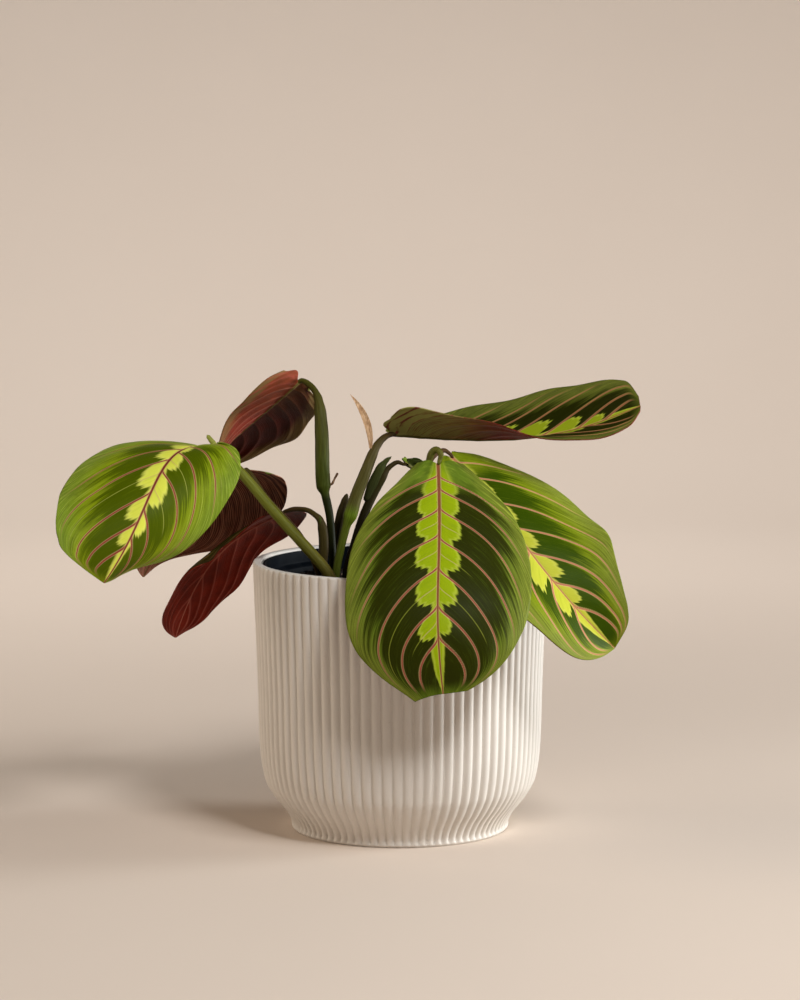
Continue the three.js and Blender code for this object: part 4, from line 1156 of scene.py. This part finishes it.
def leaf_underside_group():
    """The underside: wine-red with raised paler veins, fine lines and greenish parts. Its right half
    can be darkened to a deep wine as painted shade, and Tip Red is how red the tip is."""
    inputs = [
        ("Vein", "Vector", None), ("Gauge", "Vector", None), ("Place", "Vector", None),
        ("Wine", "Color", (0.07, 0.01, 0.007)), ("Pink", "Color", (0.30, 0.09, 0.07)),
        ("Green", "Color", (0.12, 0.13, 0.05)), ("Midrib", "Color", (0.12, 0.11, 0.03)),
        ("Green Base", "Float", 0.0), ("Green Margin", "Float", 0.0), ("Lines", "Float", 0.4),
        ("Right Shade", "Float", 0.0), ("Tip Red", "Float", 0.0),
    ]
    bright_wine, shade_wine = (0.22, 0.02, 0.012), (0.03, 0.002, 0.0008)
    group, entry, leave = new_group("leaf_underside", inputs, SKIN_OUTPUTS)
    part = masks_of(group, entry["Vein"], entry["Gauge"])
    across, along = part["across"], part["along"]
    broad, fine = stroke(group, part, 8, 2), stroke(group, part, 24, 3)
    mottle = noise(group, entry["Place"], 160, 4, 0.6)
    bent = linear(group, calc(group, "SUBTRACT", broad, 0.5), 0.12, part["phase"])
    lines = times(group, wavy(group, bent, 11, 1.5), ease(group, fine, 0.25, 0.65))
    base = times(group, entry["Green Base"], fall(group, linear(group, broad, 0.3, along), 0.25, 0.6))
    margin = ease(group, linear(group, fine, 0.35, across), 0.85, 1.05)
    margin = times(group, entry["Green Margin"], margin)
    green = times(group, calc(group, "MAXIMUM", base, margin), fall(group, lines, 0.2, 0.9))
    core = fall(group, part["vein_mm"], 0.2, linear(group, across, -0.4, 0.8))
    rib_half = linear(group, along, -0.7, 1.1)
    rib = fall(group, part["out"], times(group, rib_half, 0.7), rib_half)
    tone = laid_over(group, put(group, "HueSaturation", {"Color": entry["Wine"], "Value": 0.55}), [
        (ease(group, mottle, 0.3, 0.7), entry["Wine"]),
        (times(group, lines, entry["Lines"]), entry["Pink"]),
        (times(group, ease(group, along, 0.7, 0.95), entry["Tip Red"]), bright_wine),
        (times(group, core, 0.4), entry["Pink"]),
        # Painted shade: the right half goes to a deep wine
        (times(group, ease(group, part["signed"], -0.02, 0.04), entry["Right Shade"]), shade_wine),
        (green, entry["Green"]),
        (rib, entry["Midrib"]),
    ])
    height = linear(group, core, 0.4, linear(group, lines, 0.5, times(group, broad, 0.4)))
    feed(group, leave.inputs["Tone"], tone)
    feed(group, leave.inputs["Height"], height)
    feed(group, leave.inputs["Roughness"], put(group, "MapRange", {0: mottle, 3: 0.38, 4: 0.55}))
    return group


LEAF_FACE = leaf_face_group()
LEAF_UNDERSIDE = leaf_underside_group()


def blade_material(name, group, values, bump):
    """Leaf skin coloured by one of the two groups."""
    material, tree, shader = new_material(name, 0.45, 0.04)
    sources = {
        "Vein": put(tree, "Attribute", out=1, attribute_name="vein"),
        "Gauge": put(tree, "Attribute", out=1, attribute_name="gauge"),
        "Place": object_place(tree),
    }
    if group == LEAF_FACE:
        sources["Minor"] = put(tree, "Attribute", out=2, attribute_name="minor")
    parts = use_group(tree, group, sources | values)
    wear_skin(tree, shader, parts, bump)
    return material


FACE_TONES = {
    "front": {
        "Green": (0.12, 0.19, 0.013), "Margin": (0.135, 0.167, 0.018), "Red": (0.31, 0.06, 0.045),
        "Pink": (0.55, 0.37, 0.17), "Cut": 0.44,
    },
    "left_front": {
        "Lime": (0.72, 0.76, 0.085), "Lime Edge": (0.78, 0.8, 0.16), "Green": (0.24, 0.32, 0.006),
        "Margin": (0.193, 0.29, 0.021), "Dark": (0.065, 0.095, 0.0005), "Red": (0.29, 0.05, 0.035),
        "Pink": (0.6, 0.36, 0.18), "Midrib": (0.22, 0.04, 0.03), "Blotch": 0.5, "Softness": 0.03,
    },
    "right_low": {
        "Lime": (0.51, 0.53, 0.045), "Lime Edge": (0.58, 0.6, 0.1), "Green": (0.18, 0.24, 0.006),
        "Margin": (0.18, 0.223, 0.024), "Dark": (0.03, 0.06, 0.0004), "Red": (0.52, 0.16, 0.11),
        "Pink": (0.7, 0.5, 0.2), "Midrib": (0.5, 0.22, 0.1), "Blotch": 0.5,
    },
    "right_top": {
        "Lime": (0.25, 0.31, 0.01), "Green": (0.09, 0.11, 0.012), "Margin": (0.095, 0.11, 0.018),
        "Dark": (0.011, 0.013, 0.0004), "Red": (0.26, 0.07, 0.04), "Blotch": 0.62,
    },
    # The low left leaf's darker Green, Margin and Lime Edge are painted shadow for the shade it lies in
    "left_low": {
        "Lime Edge": (0.12, 0.15, 0.02), "Green": (0.05, 0.07, 0.008), "Margin": (0.025, 0.012, 0.004),
    },
}
UNDERSIDE_TONES = {
    "left_top": {
        "Wine": (0.28, 0.031, 0.018), "Pink": (0.62, 0.23, 0.15), "Green": (0.2, 0.14, 0.05),
        "Midrib": (0.2, 0.15, 0.045), "Lines": 0.3, "Green Base": 0.2, "Green Margin": 0.8,
        # Painted shade darkens the right half of this underside
        "Right Shade": 0.86,
    },
    "left_back": {"Wine": (0.09, 0.014, 0.006), "Pink": (0.5, 0.22, 0.13), "Lines": 0.85},
    # The low left leaf's pink Midrib is a painted highlight along the ridge of its midrib
    "left_low": {
        "Wine": (0.155, 0.013, 0.0045), "Pink": (0.36, 0.1, 0.07), "Midrib": (0.3, 0.09, 0.06),
        "Lines": 0.15, "Tip Red": 0.2,
    },
    "right_top": {
        "Wine": (0.14, 0.015, 0.007), "Green": (0.32, 0.31, 0.09), "Green Base": 1.0, "Lines": 0.35,
    },
    "middle": {"Wine": (0.03, 0.04, 0.004), "Pink": (0.07, 0.08, 0.02)},
}
for leaf_name, leaf in LEAVES.items():
    face = blade_material(f"{leaf_name}_face", LEAF_FACE, FACE_TONES.get(leaf_name, {}), 0.00018)
    underside = blade_material(f"{leaf_name}_underside", LEAF_UNDERSIDE,
                               UNDERSIDE_TONES.get(leaf_name, {}), 0.00025)
    blade_piece(f"{leaf_name}_blade", leaf, face, underside)

# Dry growth
# Two dead scraps on the stalks: a papery tan sheath tip that curls away from the upper right
# stalk, and a short broken twig on the upper left one.
SHEATH_TIP_SPINE = [(-14.1, 5.1, 181.4), (-13.8, 4.2, 190), (-16.4, 3.2, 199), (-23.6, 1, 207.5)]
SHEATH_TIP_WIDTH = 1.7
SHEATH_TIP_THICKNESS = 0.32
DRY_TWIG = [(-33.8, 11.4, 163.2, 0.6), (-32.4, 11, 163.9, 0.6), (-31.2, 11, 166.3, 0.5),
            (-29.7, 11, 169, 0.6)]
TWIG_STEP = 0.15


def papery(name, dark, light):
    """Dry leaf tissue: upright fibres and stains."""
    material, tree, shader = new_material(name, 0.8, 0.2)
    place = object_place(tree)
    fibre = noise(tree, put(tree, "Mapping", {"Vector": place, "Scale": (1, 1, 0.12)}), 2400, 3)
    stain = noise(tree, place, 220, 4)
    mixed = times(tree, ease(tree, fibre, 0.3, 0.7), ease(tree, stain, 0.25, 0.6))
    feed(tree, shader.inputs["Base Color"], blend_colours(tree, mixed, dark, light))
    raise_surface(tree, shader, fibre, 0.00015)
    return material


def curled_strip(controls, width):
    """A trough-shaped strip along a cubic curve. At the share s of its length its half-width is
    width x sin(pi (0.12 + 0.87 s)). It is folded to a V whose sides rise by 0.45 of their width,
    and ripples a little."""
    along = np.linspace(0, 1, 60)
    spine, forward = midrib_points(controls, along)
    across = unit(np.cross(forward, (0.2, -1, 0)))
    outward = np.cross(across, forward)
    half = width * np.sin(np.pi * (0.12 + 0.87 * along))
    ring = np.linspace(0, 2 * np.pi, 24, endpoint=False)
    aside = np.cos(ring)[None] * half[:, None]
    rise = 0.45 * np.abs(aside) + 0.1 * np.sin(9 * along[:, None] + aside)
    rise = rise + SHEATH_TIP_THICKNESS / 2 * np.sin(ring)[None]
    return spine[:, None] + across[:, None] * aside[..., None] + outward[:, None] * rise[..., None]


make_piece("dry_sheath_tip_strip", *capped_rings(curled_strip(SHEATH_TIP_SPINE, SHEATH_TIP_WIDTH)),
           papery("dry_sheath", (0.42, 0.24, 0.12), (0.85, 0.6, 0.37)), "dry_growth", ["dry_sheath_tip"])
make_piece("dry_twig_stem", *capped_rings(stem_rings(DRY_TWIG, TWIG_STEP)[0]),
           papery("dry_twig", (0.08, 0.035, 0.015), (0.4, 0.25, 0.14)), "dry_growth", ["dry_twig"])

# Studio
# A seamless pale floor that sweeps up all round. A soft lamp at the front right is near enough to
# spread the shadows. Another stands low at the right, and a weak warm one at the left. Four more
# face outwards and light the sweep.
FLOOR_RADIUS = 1.2
SWEEP_RADIUS = 3.8
SWEEP_HEIGHT = 3.72
FLOOR_RINGS = 60
FLOOR_SIDES = 96
floor_steps = np.linspace(0.001, SWEEP_RADIUS, FLOOR_RINGS)
beyond_floor = np.clip((floor_steps - FLOOR_RADIUS) / (SWEEP_RADIUS - FLOOR_RADIUS), 0, 1)
floor_points = turned(np.column_stack([floor_steps, SWEEP_HEIGHT * beyond_floor**2]), FLOOR_SIDES)
floor_faces = [*grid_faces(FLOOR_RINGS, FLOOR_SIDES, True).tolist(), list(range(FLOOR_SIDES))]
floor_mesh = bpy.data.meshes.new("studio_floor")
floor_mesh.from_pydata(floor_points.reshape(-1, 3), [], floor_faces)
floor_mesh.shade_smooth()
studio_floor = bpy.data.objects.new("studio_floor", floor_mesh)
bpy.context.scene.collection.objects.link(studio_floor)
floor_material, floor_tree, floor_shader = new_material("pale_floor", 0.9, 0.1)
floor_blotch = noise(floor_tree, object_place(floor_tree), 5, 2, 0.4)
feed(floor_tree, floor_shader.inputs["Base Color"],
     blend_colours(floor_tree, floor_blotch, (0.66, 0.562, 0.478), (0.68, 0.582, 0.498)))
floor_mesh.materials.append(floor_material)


def soft_lamp(name, azimuth, height, aim, distance, size, power, tint=(1, 1, 1), cone=0):
    """A round lamp that shines on the point aim from a distance in metres. Its azimuth is counted
    in degrees from the front towards the right, its height above the horizon in degrees. With a
    cone, in degrees, it keeps its light off the floor beside it."""
    if cone:
        data = bpy.data.lights.new(name, "SPOT")
        data.spot_size = np.radians(cone)
        data.spot_blend = 1
        data.shadow_soft_size = size / 2
    else:
        data = bpy.data.lights.new(name, "AREA")
        data.shape = "DISK"
        data.size = size
    data.energy = power
    data.color = tint
    turn, rise = np.radians([azimuth, height])
    way = np.array([np.sin(turn) * np.cos(rise), -np.cos(turn) * np.cos(rise), np.sin(rise)])
    lamp = bpy.data.objects.new(name, data)
    lamp.location = np.array(aim) + distance * way
    lamp.rotation_euler = (np.pi / 2 - rise, 0, turn)
    lamp.visible_camera = False
    bpy.context.scene.collection.objects.link(lamp)


PLANT_MIDDLE = (0, 0, 0.1)
SWEEP_AIM_RADIUS = 1.6
SWEEP_AIM_HEIGHT = 0.63
SWEEP_LAMP_DISTANCE = 1.04
# Towards the front, the right, the back and the left
SWEEP_LAMP_POWERS = (2, 7.5, 16.5, 5.5)
soft_lamp("key_lamp", 31, 45, PLANT_MIDDLE, 0.99, 0.3, 7.4)
soft_lamp("right_lamp", 100, 6, PLANT_MIDDLE, 1.4, 0.6, 104, (0.93, 0.98, 1), 50)
soft_lamp("left_lamp", 265, 20, PLANT_MIDDLE, 1.6, 1.2, 10.5, (1, 0.88, 0.74))
for quarter, power in enumerate(SWEEP_LAMP_POWERS):
    outward = np.radians(90 * quarter)
    aim = (SWEEP_AIM_RADIUS * np.sin(outward), -SWEEP_AIM_RADIUS * np.cos(outward), SWEEP_AIM_HEIGHT)
    soft_lamp(f"sweep_lamp_{quarter}", 90 * quarter + 180, 30, aim, SWEEP_LAMP_DISTANCE, 0.6, power)

world = bpy.data.worlds.new("room_light")
world.use_nodes = True
room_light = world.node_tree.nodes["Background"]
room_light.inputs["Color"].default_value = (0.95, 0.98, 1, 1)
room_light.inputs["Strength"].default_value = 0.02
bpy.context.scene.world = world

# Camera
# It looks slightly down on the plant from the front, from 1.6 m away. FOCAL_PIXELS is the
# length of its long lens in pixels of a picture that is 1000 pixels high.
CAMERA_DISTANCE = 1.6
CAMERA_HEIGHT = 0.3415
CAMERA_DROP = np.radians(6.57)
IMAGE_HEIGHT = 1000
FOCAL_PIXELS = 3390
camera_data = bpy.data.cameras.new("front_camera")
camera_data.sensor_width = 36
camera_data.lens = FOCAL_PIXELS / IMAGE_HEIGHT * camera_data.sensor_width
camera = bpy.data.objects.new("front_camera", camera_data)
camera.location = (0, -CAMERA_DISTANCE, CAMERA_HEIGHT)
camera.rotation_euler = (np.pi / 2 - CAMERA_DROP, 0, 0)
bpy.context.scene.collection.objects.link(camera)
bpy.context.scene.camera = camera
bpy.context.scene.view_settings.view_transform = "Standard"
